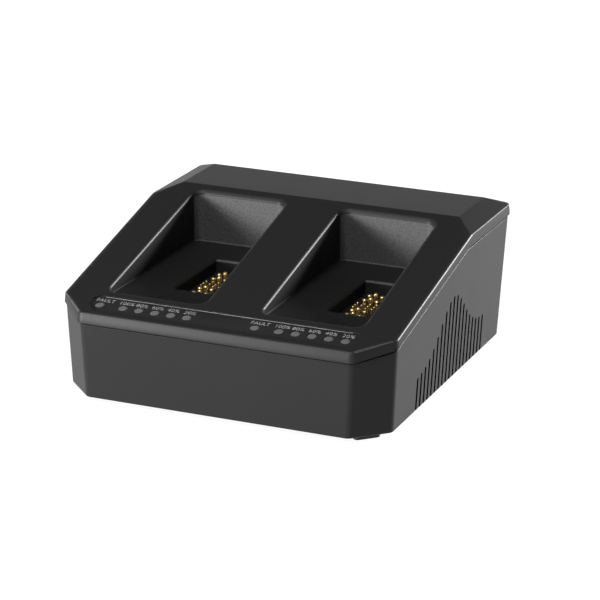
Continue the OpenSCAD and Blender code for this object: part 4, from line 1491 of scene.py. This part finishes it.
@dataclass
class Studio:
    """The camera at the photograph's angle, the lamps, the floor and the world."""

    target: Point = (0.007245, -0.00147, 0.03324)
    lamp_target: Point = (0.0, 0.0, 0.04)
    distance: float = 1.1924
    azimuth: float = math.radians(22.392)
    elevation: float = math.radians(18.589)
    roll: float = math.radians(0.671)
    lens: float = 156.91
    sensor: float = 36.0
    clip: float = 0.05
    dim: float = 0.03
    glow: float = 0.91
    paper: float = 0.25
    reach: float = 4.0
    wall: float = 1.3
    card_height: float = 2.1
    card_reach: float = 2.0
    card_lean: float = math.radians(42)

    def place_camera(self) -> None:
        """Sets the camera at the photograph's viewing angle."""
        level = math.cos(self.elevation)
        back = Vector((math.sin(self.azimuth) * level, -math.cos(self.azimuth) * level,
                       math.sin(self.elevation)))
        right = Vector((math.cos(self.azimuth), math.sin(self.azimuth), 0))
        up = back.cross(right)
        across = right * math.cos(self.roll) + up * math.sin(self.roll)
        above = up * math.cos(self.roll) - right * math.sin(self.roll)
        bpy.ops.object.camera_add()
        camera = bpy.context.object
        place = Vector(self.target) + back * self.distance
        turn = Matrix((across, above, back)).transposed().to_4x4()
        camera.matrix_world = Matrix.Translation(place) @ turn
        camera.data.lens = self.lens
        camera.data.sensor_width = self.sensor
        camera.data.clip_start = self.clip
        bpy.context.scene.camera = camera

    def light(self) -> None:
        """Sets the lamps and a dim, even world."""
        middle = Vector(self.lamp_target)
        for lamp in LAMPS:
            place = middle + Vector(lamp.toward).normalized() * lamp.distance
            bpy.ops.object.light_add(type="AREA", location=place)
            made = bpy.context.object
            made.name = lamp.name
            made.rotation_euler = (middle - place).to_track_quat("-Z", "Y").to_euler()
            made.data.shape = "RECTANGLE"
            made.data.size, made.data.size_y = lamp.size
            made.data.energy = lamp.level * (math.pi * lamp.distance) ** 2
        world = bpy.data.worlds.new("studio")
        bpy.context.scene.world = world
        world.use_nodes = True
        set_inputs(world.node_tree.nodes["Background"], Color=(1, 1, 1, 1), Strength=self.dim)

    def white(self, name: str, glow: float, albedo: float) -> bpy.types.Material:
        """Makes a surface that looks white to the camera and in reflections.

        Args:
            name: Its name.
            glow: The level that a ray from the camera or off a glossy surface finds added.
            albedo: The share of the light that it scatters.

        Returns:
            The material.
        """
        made, tree, shader = new_material(name)
        rays = tree.nodes.new("ShaderNodeLightPath").outputs
        either = rays["Is Camera Ray"]
        for kind in ("Is Glossy Ray", "Is Transmission Ray"):
            either = compute(tree, "MAXIMUM", either, rays[kind])
        set_inputs(shader, Base_Color=(albedo, albedo, albedo, 1), Roughness=1.0,
                   Specular_IOR_Level=0.0, Emission_Color=(1, 1, 1, 1),
                   Emission_Strength=compute(tree, "MULTIPLY", either, glow))
        return made

    def sheet(self, name: str, paper: bpy.types.Material, radius: float,
              fill: str = "NGON") -> Piece:
        """Adds a disc or a bare circle to the set.

        Args:
            name: Its name.
            paper: Its material.
            radius: Its radius.
            fill: How it is filled.

        Returns:
            The disc or circle.
        """
        bpy.ops.mesh.primitive_circle_add(vertices=64, radius=radius, fill_type=fill)
        made = bpy.context.object
        made.name = name
        made.data.materials.append(paper)
        return made

    def lay_floor(self) -> None:
        """Lays a floor that keeps the shadow, inside a low wall, and hangs a card.

        The card is above and in front, out of the camera's view. It is seen in reflections.
        """
        floor = self.sheet("floor", self.white("floor_paper", self.glow, self.paper), self.reach)
        wall = self.sheet("backdrop", self.white("wall_paper", 1.0, 0.0), self.reach, "NOTHING")
        with editing(wall, Pick.EDGES):
            bpy.ops.mesh.select_all(action="SELECT")
            draw_up(self.wall)
        paper = self.white("card_paper", 1.0, 0.0)
        paper.cycles.emission_sampling = "NONE"
        card = self.sheet("overhead_card", paper, self.card_reach)
        place = Vector((0, -math.sin(self.card_lean), math.cos(self.card_lean))) * self.card_height
        set_at(card, place, self.card_lean, "X")

    def build(self) -> None:
        """Builds the whole set."""
        self.place_camera()
        self.light()
        self.lay_floor()


def main() -> None:
    """Builds the charger and its set."""
    logging.basicConfig(level=logging.INFO, format="%(name)s: %(message)s", stream=sys.stdout)
    bpy.context.scene.view_settings.view_transform = "Standard"
    Studio().build()
    housing = Housing()
    housing.build_cover()
    housing.build_lower()
    housing.build_feet()
    IndicatorStrip().build()
    for side in Side:
        ContactField(side).build()
    Innards().dress()


if __name__ == "__main__":
    main()
